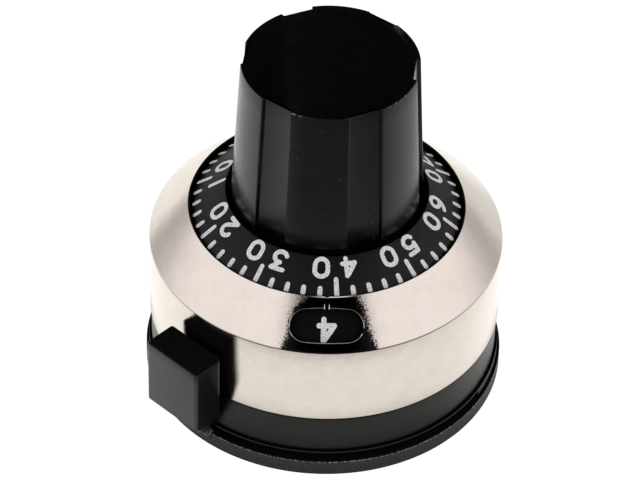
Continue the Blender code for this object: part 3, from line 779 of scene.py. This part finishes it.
def black_grip():
    """Black phenolic of the knob: satin, with fine grain, a little dust and a chipped top edge."""
    made, tree, shader, place = material("black_grip_finish")
    deep, soft, dusty, chipped = (0.0012,) * 3, (0.0025, 0.0025, 0.0027), (0.16, 0.16, 0.165), (0.45,) * 3
    cloud = noise(tree, place, 1.3, 3.0, 0.6)
    grain = noise(tree, place, 22.0, 2.0, 0.6)
    facing = upward(tree)
    dust = rising(tree, noise(tree, place, 9.0, 1.0, 0.4), 0.765, 0.79)
    dust = product(tree, dust, falling(tree, facing, 0.9, 0.97, 0.3))
    edge = rising(tree, over_panel(tree, place), KNOB_TOP - 0.10, KNOB_TOP - 0.05)
    chips = rising(tree, noise(tree, place, 5.5, 3.0, 0.6), 0.60, 0.66)
    chips = product(tree, edge, falling(tree, facing, 0.9, 0.97), chips)
    colour = blend(tree, cloud, deep, soft)
    colour = blend(tree, dust, colour, dusty)
    colour = blend(tree, chips, colour, chipped)
    spread = map_range(tree, cloud, 0.3, 0.7, 0.16, 0.23)
    relief = bump(tree, grain, 0.10, 0.04)
    connect(shader, Base_Color=colour, Roughness=spread, Normal=relief, Specular_IOR_Level=0.465)
    return made


def black_anodised():
    """Matt black anodised cone with faint turning lines, less glossy under the window as painted shade.
    """
    made, tree, shader, place = material("black_anodised_finish")
    deep, soft = (0.002, 0.002, 0.0022), (0.006, 0.006, 0.007)
    lines = noise(tree, round_axis(tree, place, 0.5), 16.0, 3.0, 0.6)
    grain = noise(tree, place, 26.0, 3.0, 0.7)
    cloud = noise(tree, place, 1.1, 3.0, 0.6)
    colour = blend(tree, grain, deep, soft)
    spread = map_range(tree, cloud, 0.3, 0.7, 0.42, 0.52)
    # Painted shade: on the turns ring inside the window the specular level falls, so it reads darker.
    gloss_with_painted_shade = map_range(tree, from_axis(tree, place), DIAL_RADIUS, COUNTER_INNER + 0.1, 0.33, 0.1)
    relief = bump(tree, lines, 0.10, 0.03)
    relief = bump(tree, grain, 0.12, 0.03, relief)
    connect(shader, Base_Color=colour, Roughness=spread, Normal=relief, Specular_IOR_Level=gloss_with_painted_shade)
    return made


def black_moulding():
    """Satin black case moulding with a soft mottle, dull on faces that point up as painted shade."""
    made, tree, shader, place = material("black_moulding_finish")
    deep, soft = (0.002,) * 3, (0.006,) * 3
    mottle = noise(tree, place, 5.0, 4.0, 0.65)
    grain = noise(tree, place, 24.0, 3.0, 0.7)
    colour = blend(tree, mottle, deep, soft)
    spread = map_range(tree, mottle, 0.3, 0.7, 0.22, 0.34)
    # Painted shade: faces that point up lose their specular level and stay dark.
    gloss_with_painted_shade = map_range(tree, upward(tree), 0.3, 0.8, 0.32, 0.0)
    relief = bump(tree, grain, 0.2, 0.05)
    connect(shader, Base_Color=colour, Roughness=spread, Normal=relief, Specular_IOR_Level=gloss_with_painted_shade)
    return made


def grey_moulding():
    """Black filled moulding: smooth tab, and a rough ring with pale specks and a chipped rim, whose chips
    also serve as a painted speckled highlight.
    """
    made, tree, shader, place = material("grey_moulding_finish")
    deep, soft, ring_face = (0.004,) * 3, (0.012,) * 3, (0.028, 0.028, 0.026)
    speck, chipped = (0.13, 0.13, 0.127), (0.36, 0.36, 0.35)
    height = over_panel(tree, place)
    facing = upward(tree)
    low = falling(tree, height, RING_TOP, RING_TOP + 0.8)
    upright = falling(tree, facing, 0.5, 0.9)
    mottle = noise(tree, place, 4.0, 5.0, 0.7)
    grain = noise(tree, place, 13.0, 4.0, 0.75)
    specks = rising(tree, noise(tree, place, 11.0, 2.0, 0.6), 0.57, 0.67)
    specks = product(tree, specks, map_range(tree, low, 0.0, 1.0, 0.06, 0.6, smooth=False), upright)
    # Pale chips on the upright faces just under the ring's top edge: partly wear, partly a painted
    # speckled highlight of that edge.
    rim = rising(tree, height, RING_TOP - 0.12, RING_TOP - 0.04)
    chips = rising(tree, noise(tree, place, 7.0, 3.0, 0.7), 0.46, 0.60)
    colour = blend(tree, mottle, deep, soft)
    colour = blend(tree, product(tree, low, upright, 0.8), colour, ring_face)
    colour = blend(tree, specks, colour, speck)
    colour = blend(tree, product(tree, rim, low, upright, chips), colour, chipped)

    # As painted shade, the gloss is left out of faces that point up, and of the lever's mirror image in
    # the sleeve.
    mirrored = put(tree, "ShaderNodeLightPath").outputs["Is Glossy Ray"]
    gloss_with_painted_shade = map_range(tree, facing, 0.35, 0.8, 0.5, 0.0)
    gloss_with_painted_shade = product(tree, gloss_with_painted_shade, without(tree, mirrored))
    # The finger tab's right side is hollow on the real lever, and painted shade keeps it dark here.
    outwards = put(tree, "ShaderNodeTexCoord").outputs["Normal"]
    rightward = towards(tree, outwards, polar(1.0, LEVER_REST + 90.0))
    painted_hollow_shade = product(tree, rising(tree, rightward, 0.80, 0.97, 0.88), without(tree, low))
    gloss_with_painted_shade = product(tree, gloss_with_painted_shade, without(tree, painted_hollow_shade))

    spread = map_range(tree, grain, 0.3, 0.7, 0.16, 0.24)
    spread = plus(tree, spread, product(tree, low, 0.16))
    relief = bump(tree, grain, map_range(tree, low, 0.0, 1.0, 0.12, 0.75, smooth=False), 0.08)
    connect(shader, Base_Color=colour, Roughness=spread, Normal=relief, Specular_IOR_Level=gloss_with_painted_shade)
    return made


def white_paint():
    """The white fill of the scale: slightly uneven and worn, with a faint painted glow."""
    made, tree, shader, place = material("white_paint")
    bright, dull, worn = (0.93,) * 3, (0.80,) * 3, (0.42, 0.42, 0.41)
    patch = noise(tree, place, 7.0, 3.0, 0.6)
    grain = noise(tree, place, 30.0, 2.0, 0.6)
    wear = rising(tree, noise(tree, place, 11.0, 3.0, 0.7), 0.48, 0.66)
    colour = blend(tree, rising(tree, patch, 0.35, 0.65), bright, dull)
    colour = blend(tree, wear, colour, worn)
    relief = bump(tree, grain, 0.2, 0.03)
    connect(shader, Base_Color=colour, Roughness=0.5, Normal=relief)
    # The faint painted glow is emission in the paint's own colour.
    connect(shader, Emission_Color=colour, Emission_Strength=0.22)
    return made


def black_paint():
    """The black fill of the index line."""
    made, tree, shader, place = material("black_paint")
    deep, soft = (0.001,) * 3, (0.003,) * 3
    grain = noise(tree, place, 20.0, 2.0, 0.6)
    relief = bump(tree, grain, 0.2, 0.03)
    connect(shader, Base_Color=blend(tree, grain, deep, soft), Roughness=0.6, Normal=relief)
    connect(shader, Specular_IOR_Level=0.0)
    return made


def turned_metal(name, pale, dark, low, high):
    """Metal turned round the shaft axis, with lathe lines and slight tarnish."""
    made, tree, shader, place = material(name)
    lines = noise(tree, round_axis(tree, place, 0.5), 12.0, 3.0, 0.6)
    tarnish = noise(tree, place, 1.6, 4.0, 0.6)
    colour = blend(tree, rising(tree, tarnish, 0.35, 0.7), pale, dark)
    spread = map_range(tree, lines, 0.3, 0.7, low, high)
    relief = bump(tree, lines, 0.2, 0.02)
    connect(shader, Base_Color=colour, Metallic=1.0, Roughness=spread, Normal=relief)
    return made


def plain_acetal():
    """Natural white acetal with a slight cloudiness below the surface."""
    made, tree, shader, place = material("acetal_finish")
    clear, milky = (0.74, 0.73, 0.69), (0.84, 0.83, 0.80)
    cloud = noise(tree, place, 1.5, 3.0, 0.6)
    grain = noise(tree, place, 20.0, 2.0, 0.6)
    spread = map_range(tree, cloud, 0.3, 0.7, 0.32, 0.44)
    relief = bump(tree, grain, 0.15, 0.03)
    connect(shader, Base_Color=blend(tree, cloud, clear, milky), Roughness=spread, Normal=relief)
    connect(shader, Subsurface_Weight=0.15, Subsurface_Scale=0.6 * MM)
    return made


NICKEL = nickel_plate()
GRIP = black_grip()
ANODISED = black_anodised()
MOULDING = black_moulding()
GREY = grey_moulding()
PAINT = white_paint()
INDEX_PAINT = black_paint()
BRASS = turned_metal("brass_finish", (0.80, 0.60, 0.28), (0.66, 0.48, 0.22), 0.2, 0.36)
STEEL = turned_metal("steel_finish", (0.62, 0.62, 0.62), (0.48, 0.48, 0.485), 0.22, 0.4)
ACETAL = plain_acetal()


# Pieces


def circle(distance, height, steps):
    return [polar(distance, 360.0 * i / steps, height) for i in range(steps)]


def obround(width, height, steps=16):
    """An (x, y) outline with straight long sides and round ends."""
    end = height / 2
    reach = width / 2 - end
    points = []
    for side in (1, -1):
        for i in range(steps + 1):
            turn = -math.pi / 2 + math.pi * i / steps
            points.append((side * (reach + end * math.cos(turn)), side * end * math.sin(turn)))
    return points


def window_loop(off, grow):
    """The window's outline, grown outwards and moved off the cone."""
    loop = []
    for x, y in obround(WINDOW_WIDTH + 2 * grow, WINDOW_HEIGHT + 2 * grow):
        angle = WINDOW_ANGLE + math.degrees(x / WINDOW_RADIUS)
        distance = WINDOW_RADIUS - y * math.cos(BEZEL_CONE.tilt)
        loop.append(BEZEL_CONE.at(angle, distance, off))
    return loop


def index_strip(outer, inner, low, high):
    """A strip along the index line from radius outer to inner, between two levels off the cone."""
    half = math.degrees(INDEX_WIDTH / 2 / INDEX_MIDDLE_RADIUS)
    corners = ((half, outer), (half, inner), (-half, inner), (-half, outer))
    loops = []
    for off in (low, high):
        loops.append([BEZEL_CONE.at(WINDOW_ANGLE + turn, distance, off) for turn, distance in corners])
    return lofted(loops)


def make_bezel():
    inner = BODY_RADIUS - BEZEL_WALL
    slope = math.tan(BEZEL_CONE.tilt)
    inside = CONE_TOP - BEZEL_WALL / math.cos(BEZEL_CONE.tilt)
    points = [
        (inner, BEZEL_BOTTOM),
        (BODY_RADIUS, BEZEL_BOTTOM),
        (BODY_RADIUS, CONE_FOOT),
        (RIM_RADIUS, CONE_TOP),
        (RIM_INNER, CONE_TOP),
        (RIM_INNER, inside + (RIM_RADIUS - RIM_INNER) * slope),
        (inner, inside - (inner - RIM_RADIUS) * slope),
    ]
    shell = turned(points, BEZEL_ROUNDING)
    levels = ((-CUT_UNDER, 0.0), (-WINDOW_CHAMFER, 0.0), (CUT_OVER, CUT_OVER + WINDOW_CHAMFER))
    window = lofted([window_loop(off, grow) for off, grow in levels])
    groove = index_strip(above_window(-INDEX_OVERRUN), RIM_INNER - CUT_OVER, -INDEX_DEPTH, CUT_OVER)
    shell = boolean(shell, [window, groove])
    piece("bezel_sleeve", shell, "case", NICKEL, "bright_nickel", "bezel")
    # The painted line lies in the groove, a little under the metal's surface.
    low, high = -INDEX_DEPTH - INDEX_PAINT_BELOW, -INDEX_DEPTH + INDEX_PAINT_RISE
    fill = index_strip(above_window(INDEX_PAINT_GAP), INDEX_PAINT_END, low, high)
    piece("index_line", fill, "case", INDEX_PAINT, "black_anodised")


def make_counter():
    points = [
        (COUNTER_INNER, COUNTER_BOTTOM),
        (COUNTER_RADIUS, COUNTER_BOTTOM),
        (COUNTER_RADIUS, COUNTER_FOOT),
        (COUNTER_INNER, COUNTER_TOP),
    ]
    ring = turned(points, COUNTER_ROUNDING)
    piece("turns_cone", ring, "turns_ring", ANODISED, "black_anodised", "counter_dial")
    shapes = numeral_shapes(TURNS_CAP, TURNS_STROKE)
    middle = TURNS_BASE_RADIUS + TURNS_CAP / 2 * math.cos(COUNTER_CONE.tilt)
    numerals = bmesh.new()
    for number in range(TURNS_COUNT):
        angle = WINDOW_ANGLE + TURNS_OFFSET + (number - TURNS_SHOWN) * TURNS_STEP
        text = str(number)
        spread = TURNS_DIGIT_TURN * (len(text) - 1)
        for place, digit in enumerate(text):
            digit_angle = angle + spread - 2 * spread * place
            inlay(numerals, shapes[digit], COUNTER_CONE, digit_angle, TURNS_BASE_RADIUS, middle)
    piece("turns_numerals", numerals, "turns_ring", PAINT, "acetal")


def make_dial():
    bevel_radius = DIAL_INNER + DIAL_BEVEL
    bevel_top = DIAL_CONE.at(0.0, bevel_radius).z
    points = [
        (DIAL_INNER, DIAL_SEAT),
        (DIAL_HOLLOW, DIAL_SEAT),
        (DIAL_HOLLOW, DIAL_EDGE - DIAL_THICKNESS),
        (DIAL_RADIUS, DIAL_EDGE - DIAL_THICKNESS),
        (DIAL_RADIUS, DIAL_EDGE),
        (bevel_radius, bevel_top),
        (DIAL_INNER, bevel_top - DIAL_BEVEL_DROP),
    ]
    ring = turned(points, DIAL_ROUNDING)
    piece("dial_cone", ring, "knob_group", ANODISED, "black_anodised", "dial_ring")
    make_ticks()
    make_scale_numerals()


def scale_angle(value):
    return SCALE_ANGLE + (value - SCALE_VALUE) * DEGREES_PER_VALUE


def make_ticks():
    marks = bmesh.new()
    for division in range(DIVISIONS):
        angle = scale_angle(division * SCALE_LENGTH / DIVISIONS)
        is_long = division % DIVISIONS_TO_LONG_TICK == 0
        inner = LONG_TICK_INNER if is_long else SHORT_TICK_INNER
        tick = bar((TICK_OUTER - inner) / math.cos(DIAL_CONE.tilt), TICK_WIDTH)
        inlay(marks, tick, DIAL_CONE, angle, inner, TICK_OUTER)
    piece("scale_ticks", marks, "knob_group", PAINT, "acetal")


def make_scale_numerals():
    shapes = numeral_shapes(NUMERAL_CAP, NUMERAL_STROKE)
    middle = NUMERAL_BASE_RADIUS + NUMERAL_CAP / 2 * math.cos(DIAL_CONE.tilt)
    numerals = bmesh.new()
    for tens in range(10):
        angle = scale_angle(10 * tens)
        digits = [(str(tens), TENS_OFFSET), ("0", UNITS_OFFSET)] if tens else [("0", 0.0)]
        for digit, offset in digits:
            inlay(numerals, shapes[digit], DIAL_CONE, angle + offset, NUMERAL_BASE_RADIUS, middle)
    piece("scale_numerals", numerals, "knob_group", PAINT, "acetal")


def grip_outline(size):
    """The grip's outline at one radius: lands with flat-floored flutes between them."""
    floor = size - FLUTE_DEPTH
    half = math.radians(FLUTE_HALF_ANGLE)
    top_x, top_y = size * math.cos(half), size * math.sin(half)
    floor_y = floor * math.tan(half * FLUTE_FLOOR_SHARE)
    flute_corners = ((top_x, -top_y), (floor, -floor_y), (floor, floor_y), (top_x, top_y))
    step = 360.0 / FLUTES
    land = step - 2 * FLUTE_HALF_ANGLE
    points, radii = [], []
    for flute in range(FLUTES):
        middle = FLUTE_ANGLE + flute * step
        turn = Matrix.Rotation(math.radians(middle), 2)
        points += [turn @ Vector(corner) for corner in flute_corners]
        radii += FLUTE_ROUNDING
        for i in range(1, LAND_STEPS):
            points.append(polar(size, middle + FLUTE_HALF_ANGLE + land * i / LAND_STEPS).xy)
            radii.append(0.0)
    return rounded(points, radii, steps=4)


def grip_radius(height):
    taper = (GRIP_FOOT_RADIUS - GRIP_TOP_RADIUS) / (KNOB_TOP - GRIP_FOOT)
    return GRIP_TOP_RADIUS + (KNOB_TOP - height) * taper


def grip():
    """The fluted, tapered grip with its rounded top edge."""
    levels = [(SKIRT_TOP - SKIRT_OVERLAP, GRIP_FOOT_RADIUS), (GRIP_FOOT, GRIP_FOOT_RADIUS)]
    for i in range(1, GRIP_LEVELS):
        height = GRIP_FOOT + (KNOB_TOP - GRIP_FOOT) * i / GRIP_LEVELS
        levels.append((height, grip_radius(height)))
    for turn in KNOB_EDGE_TURNS:
        height = KNOB_TOP - KNOB_EDGE * (1 - math.sin(turn))
        levels.append((height, grip_radius(height) - KNOB_EDGE * (1 - math.cos(turn))))
    return lofted([[(x, y, height) for x, y in grip_outline(size)] for height, size in levels])


def set_screw_hole(degrees):
    """A cutter for one set screw's hole, with a conical sink where it meets the grip."""
    sections = (
        (SET_SCREW_HOLE, SET_SCREW_START),
        (SET_SCREW_HOLE, SET_SCREW_SINK_START),
        (SET_SCREW_HOLE + SET_SCREW_SINK, SET_SCREW_SINK_START + SET_SCREW_SINK),
    )
    hole = lofted([circle(size, reach, SET_SCREW_STEPS) for size, reach in sections])
    outwards = Matrix.Rotation(math.radians(degrees), 4, "Z") @ Matrix.Rotation(math.pi / 2, 4, "Y")
    hole.transform(Matrix.Translation((0.0, 0.0, SET_SCREW_HEIGHT)) @ outwards)
    return hole


def make_knob():
    skirt = lofted([circle(SKIRT_RADIUS, z, ROUND) for z in (SKIRT_BOTTOM, SKIRT_TOP)])
    knob = boolean(grip(), [skirt], "UNION")
    bore = lofted([circle(HUB_RADIUS, z, ROUND) for z in (BORE_BOTTOM, BORE_TOP)])
    knob = boolean(knob, [bore, *(set_screw_hole(degrees) for degrees in SET_SCREW_ANGLES)])
    piece("knob_grip", knob, "knob_group", GRIP, "black_grip", "knob")


def make_housing():
    points = [
        (BEARING_SEAT, FLOOR_BOTTOM),
        (FLANGE_RADIUS, FLOOR_BOTTOM),
        (FLANGE_RADIUS, FLANGE_TOP),
        (BAND_RADIUS, FLANGE_TOP),
        (BAND_RADIUS, BAND_TOP),
        (SLEEVE_OUTER, BAND_TOP),
        (SLEEVE_OUTER, SLEEVE_TOP),
        (SLEEVE_BORE, SLEEVE_TOP),
        (SLEEVE_BORE, FLOOR_TOP),
        (BEARING_SEAT, FLOOR_TOP),
    ]
    housing = turned(points, HOUSING_ROUNDING)
    slot = [
        (SLOT_INNER, FLOOR_BOTTOM - CUT_CLEAR),
        (SLOT_OUTER, FLOOR_BOTTOM - CUT_CLEAR),
        (SLOT_OUTER, SLOT_TOP),
        (SLOT_INNER, SLOT_TOP),
    ]
    sweep = SLOT_END - SLOT_START
    tools = [swept(lambda angle: slot, round(sweep), SLOT_START, sweep)]
    for degrees in SCREW_ANGLES:
        hole = lofted([circle(SCREW_HOLE, z, SCREW_STEPS) for z in SCREW_HOLE_ENDS])
        hole.transform(Matrix.Translation(polar(SCREW_CIRCLE, degrees)))
        tools.append(hole)
    piece("case_housing", boolean(housing, tools), "case", MOULDING, "black_moulding", "housing")


def cam_radius(degrees):
    """Inner edge of the lever ring: it falls over the travel, then rises back."""
    lag = (CAM_START - degrees) % 360.0
    end = CAM_TRAVEL + CAM_LEAD_IN
    if lag < CAM_TRAVEL:
        return CAM_RADIUS - CAM_FALL * lag / CAM_TRAVEL
    if lag < end:
        return CAM_RADIUS - CAM_FALL
    return CAM_RADIUS - CAM_FALL * (1 - min(1.0, (lag - end) / CAM_LEAD_IN))


def lever_section(degrees):
    cam = cam_radius(degrees)
    points = [
        (cam, RING_STEP),
        (RING_STEP_RADIUS, RING_STEP),
        (RING_STEP_RADIUS, RING_BOTTOM),
        (RING_RADIUS, RING_BOTTOM),
        (RING_RADIUS, RING_TOP),
        (cam, RING_TOP),
    ]
    return rounded(points, RING_ROUNDING, steps=4)


def share_of(value, start, end):
    """How far the value lies between start and end, held to the span 0 to 1."""
    return min(1.0, max(0.0, (value - start) / (end - start)))


def tab_section(height):
    """Back, front and half width of the lever's arm and tab at one height."""
    step = share_of(height, ARM_STEP_START, ARM_STEP_END)
    lean = share_of(height, ARM_LEAN_START, TAB_BOTTOM)
    flare = share_of(height, ARM_STEP_END, TAB_BOTTOM)
    front = ARM_FRONT + (TAB_FRONT - ARM_FRONT) * lean
    back = ARM_BACK + (TAB_BACK - ARM_BACK) * step
    half = ARM_HALF_WIDTH + (TAB_HALF_WIDTH - ARM_HALF_WIDTH) * flare
    return back, front, half


def tab_loop(height, inset=0.0):
    back, front, half = tab_section(height)
    corners = [
        (back + inset, -half + inset),
        (front - inset, -half + inset),
        (front - inset, half - inset),
        (back + inset, half - inset),
    ]
    return [(x, y, height) for x, y in rounded(corners, TAB_ROUNDING, steps=6)]


def make_lever():
    heights = [ARM_FOOT, ARM_LEAN_START, ARM_STEP_START, ARM_STEP_END]
    for i in range(1, ARM_FLARE_STEPS + 1):
        heights.append(ARM_STEP_END + (TAB_BOTTOM - ARM_STEP_END) * i / ARM_FLARE_STEPS)
    heights += TAB_FACE_ENDS
    loops = [tab_loop(height) for height in heights]
    for turn in TAB_CROWN_TURNS:
        height = TAB_TOP - TAB_CROWN * (1 - math.sin(turn))
        loops.append(tab_loop(height, TAB_CROWN * (1 - math.cos(turn))))
    tab = lofted(loops)
    tab.transform(Matrix.Rotation(math.radians(LEVER_REST), 4, "Z"))
    lever = boolean(swept(lever_section, FINE), [tab], "UNION")
    piece("lever_ring_and_tab", lever, "lever", GREY, "grey_moulding", "brake_lever")


make_bezel()
make_counter()
make_dial()
make_knob()
make_housing()
make_lever()

# The CAD nodes that stay visible get the finish of their slot.
FINISHES = {"grey_moulding": GREY, "brass": BRASS, "steel": STEEL, "acetal": ACETAL}
for subpart in frame["record"]["subparts"]:
    if subpart["material_slot"] in FINISHES:
        mesh = frame["nodes"][subpart["node"]].data
        mesh.materials.clear()
        mesh.materials.append(FINISHES[subpart["material_slot"]])


# Camera: where it looks from, and how far it is shifted off the shaft axis
CAMERA_TURN = -1.0
CAMERA_ELEVATION = 41.77
CAMERA_DISTANCE = 232.39
CAMERA_RIGHT_SHIFT = 0.365
CAMERA_UP_SHIFT = 0.547
CAMERA_ROLL = -1.50
CAMERA_FOCUS_HEIGHT = 10.22
CAMERA_LENS = 208.2
CAMERA_SENSOR = 36.0
CAMERA_CLIP = (0.01, 10.0)

# Light: tints, the surround's brightness from the horizon up, and the dark patches in it: overhead,
# high at the back, and the camera's lens, each with its direction, outer and inner angle and level
WARM_WHITE = (1.0, 0.99, 0.96, 1.0)
ROSE_WHITE = (1.03, 0.99, 1.0, 1.0)
PLAIN_WHITE = (1.0, 1.0, 1.0, 1.0)
SEEN_LEVEL = 1.05
RISE_SPAN = (0.08, 0.42)
RISE_LEVELS = (0.50, 1.02)
DARK_PATCHES = (
    ((0.0, 0.0, 1.0), 38.0, 22.0, 0.03),
    ((0.0, 0.6, 0.8), 52.0, 34.0, 0.02),
    ((0.03, -0.66, 0.75), 22.5, 16.0, 0.002),
)

# Table: its size and gap to the part in metres, and its brightness as the metal sees it, with a painted
# contact shadow near the part
FLOOR_SIZE = 0.6
FLOOR_GAP = 0.0001
FAR_LEVELS = (1.05, 0.22)
NEAR_LEVELS = (1.15, 0.95)
NEAR_TO_FAR = (23.0, 29.0)
RIGHT_SPAN = (16.0, 32.0)
RIGHT_LEVEL = 0.78
PAINTED_CONTACT_SHADOW_LEVEL = 0.22
PAINTED_CONTACT_SHADOW_SPAN = (13.5, 16.7)
PAINTED_CONTACT_SHADOW_EXTRA = 2.0


def make_camera():
    tilt = math.radians(CAMERA_ELEVATION)
    roll = math.radians(CAMERA_ROLL)
    back = Vector((0.0, -math.cos(tilt), math.sin(tilt)))
    right = Vector((1.0, 0.0, 0.0))
    up = Vector((0.0, math.sin(tilt), math.cos(tilt)))
    place = back * CAMERA_DISTANCE - right * CAMERA_RIGHT_SHIFT - up * CAMERA_UP_SHIFT
    place += Vector((0.0, 0.0, CAMERA_FOCUS_HEIGHT))
    across = right * math.cos(roll) - up * math.sin(roll)
    upright = right * math.sin(roll) + up * math.cos(roll)
    turn_round = Matrix.Rotation(math.radians(CAMERA_TURN), 4, "Z")
    data = bpy.data.cameras.new("camera")
    data.sensor_width = CAMERA_SENSOR
    data.lens = CAMERA_LENS
    data.clip_start, data.clip_end = CAMERA_CLIP
    camera = add_object("camera", data)
    turn = Matrix((across, upright, back)).transposed().to_4x4()
    camera.matrix_world = turn_round @ Matrix.Translation(TO_FRAME @ place) @ turn
    bpy.context.scene.camera = camera


def seen_or_lit(tree, kind, lit_colour, lit_level, seen_level):
    """Two shaders of one kind: a plain white one for the camera and a tinted one for the object."""
    seen = put(tree, "ShaderNodeLightPath").outputs["Is Camera Ray"]
    lit = put(tree, kind, {"Color": lit_colour, "Strength": lit_level})
    plain = put(tree, kind, {"Color": PLAIN_WHITE, "Strength": seen_level})
    return put(tree, "ShaderNodeMixShader", {0: seen, 1: lit.outputs[0], 2: plain.outputs[0]})


def white_table():
    """Pure white to the camera, and a soft pool of light to the metal."""
    made = bpy.data.materials.new("floor_white")
    made.use_nodes = True
    tree = made.node_tree
    tree.nodes.clear()
    place = millimetres(tree)
    x, y, _ = separate(tree, place)
    distance = from_axis(tree, place)
    ahead = math_node(tree, "DIVIDE", product(tree, y, -1.0), distance)
    # Behind and beside the dial the table is brightest; far in front it falls off.
    far = map_range(tree, ahead, 0.05, 0.95, *FAR_LEVELS)
    near = map_range(tree, ahead, -0.3, 0.6, *NEAR_LEVELS)
    inputs = {0: rising(tree, distance, *NEAR_TO_FAR), 2: near, 3: far}
    pool = put(tree, "ShaderNodeMix", inputs, data_type="FLOAT").outputs[0]
    right = falling(tree, x, *RIGHT_SPAN, RIGHT_LEVEL)
    # Near the dial, and most in front of it, the table dims as a painted contact shadow.
    shaded = plus(tree, distance, map_range(tree, ahead, 0.2, 0.9, PAINTED_CONTACT_SHADOW_EXTRA, 0.0))
    painted_contact_shadow = map_range(tree, shaded, *PAINTED_CONTACT_SHADOW_SPAN, PAINTED_CONTACT_SHADOW_LEVEL, 1.0)
    level = product(tree, pool, right, painted_contact_shadow)
    seen_level = larger(tree, level, SEEN_LEVEL)
    shown = seen_or_lit(tree, "ShaderNodeEmission", WARM_WHITE, level, seen_level)
    # From below the table is clear, so that the underside can be seen.
    clear = put(tree, "ShaderNodeBsdfTransparent")
    behind = put(tree, "ShaderNodeNewGeometry").outputs["Backfacing"]
    shown = put(tree, "ShaderNodeMixShader", {0: behind, 1: shown.outputs[0], 2: clear.outputs[0]})
    put(tree, "ShaderNodeOutputMaterial", {0: shown.outputs[0]})
    return made


def make_floor():
    bm = bmesh.new()
    bmesh.ops.create_grid(bm, x_segments=1, y_segments=1, size=FLOOR_SIZE)
    bm.transform(Matrix.Translation((0.0, 0.0, cad_bounds[0].z - FLOOR_GAP)))
    floor = add_mesh("floor", bm)
    floor.data.materials.append(white_table())


def make_light():
    """A soft white surround: bright at the sides, dim overhead and above at the back."""
    world = bpy.data.worlds.new("studio")
    bpy.context.scene.world = world
    world.use_nodes = True
    tree = world.node_tree
    tree.nodes.clear()
    way = put(tree, "ShaderNodeTexCoord").outputs["Generated"]
    level = map_range(tree, separate(tree, way)[2], *RISE_SPAN, *RISE_LEVELS)
    for axis, outer, inner, darkest in DARK_PATCHES:
        limits = (math.cos(math.radians(angle)) for angle in (outer, inner))
        level = product(tree, level, falling(tree, towards(tree, way, Vector(axis)), *limits, darkest))
    shown = seen_or_lit(tree, "ShaderNodeBackground", ROSE_WHITE, level, SEEN_LEVEL)
    put(tree, "ShaderNodeOutputWorld", {0: shown.outputs[0]})
    bpy.context.scene.view_settings.view_transform = "Standard"


make_camera()
make_floor()
make_light()
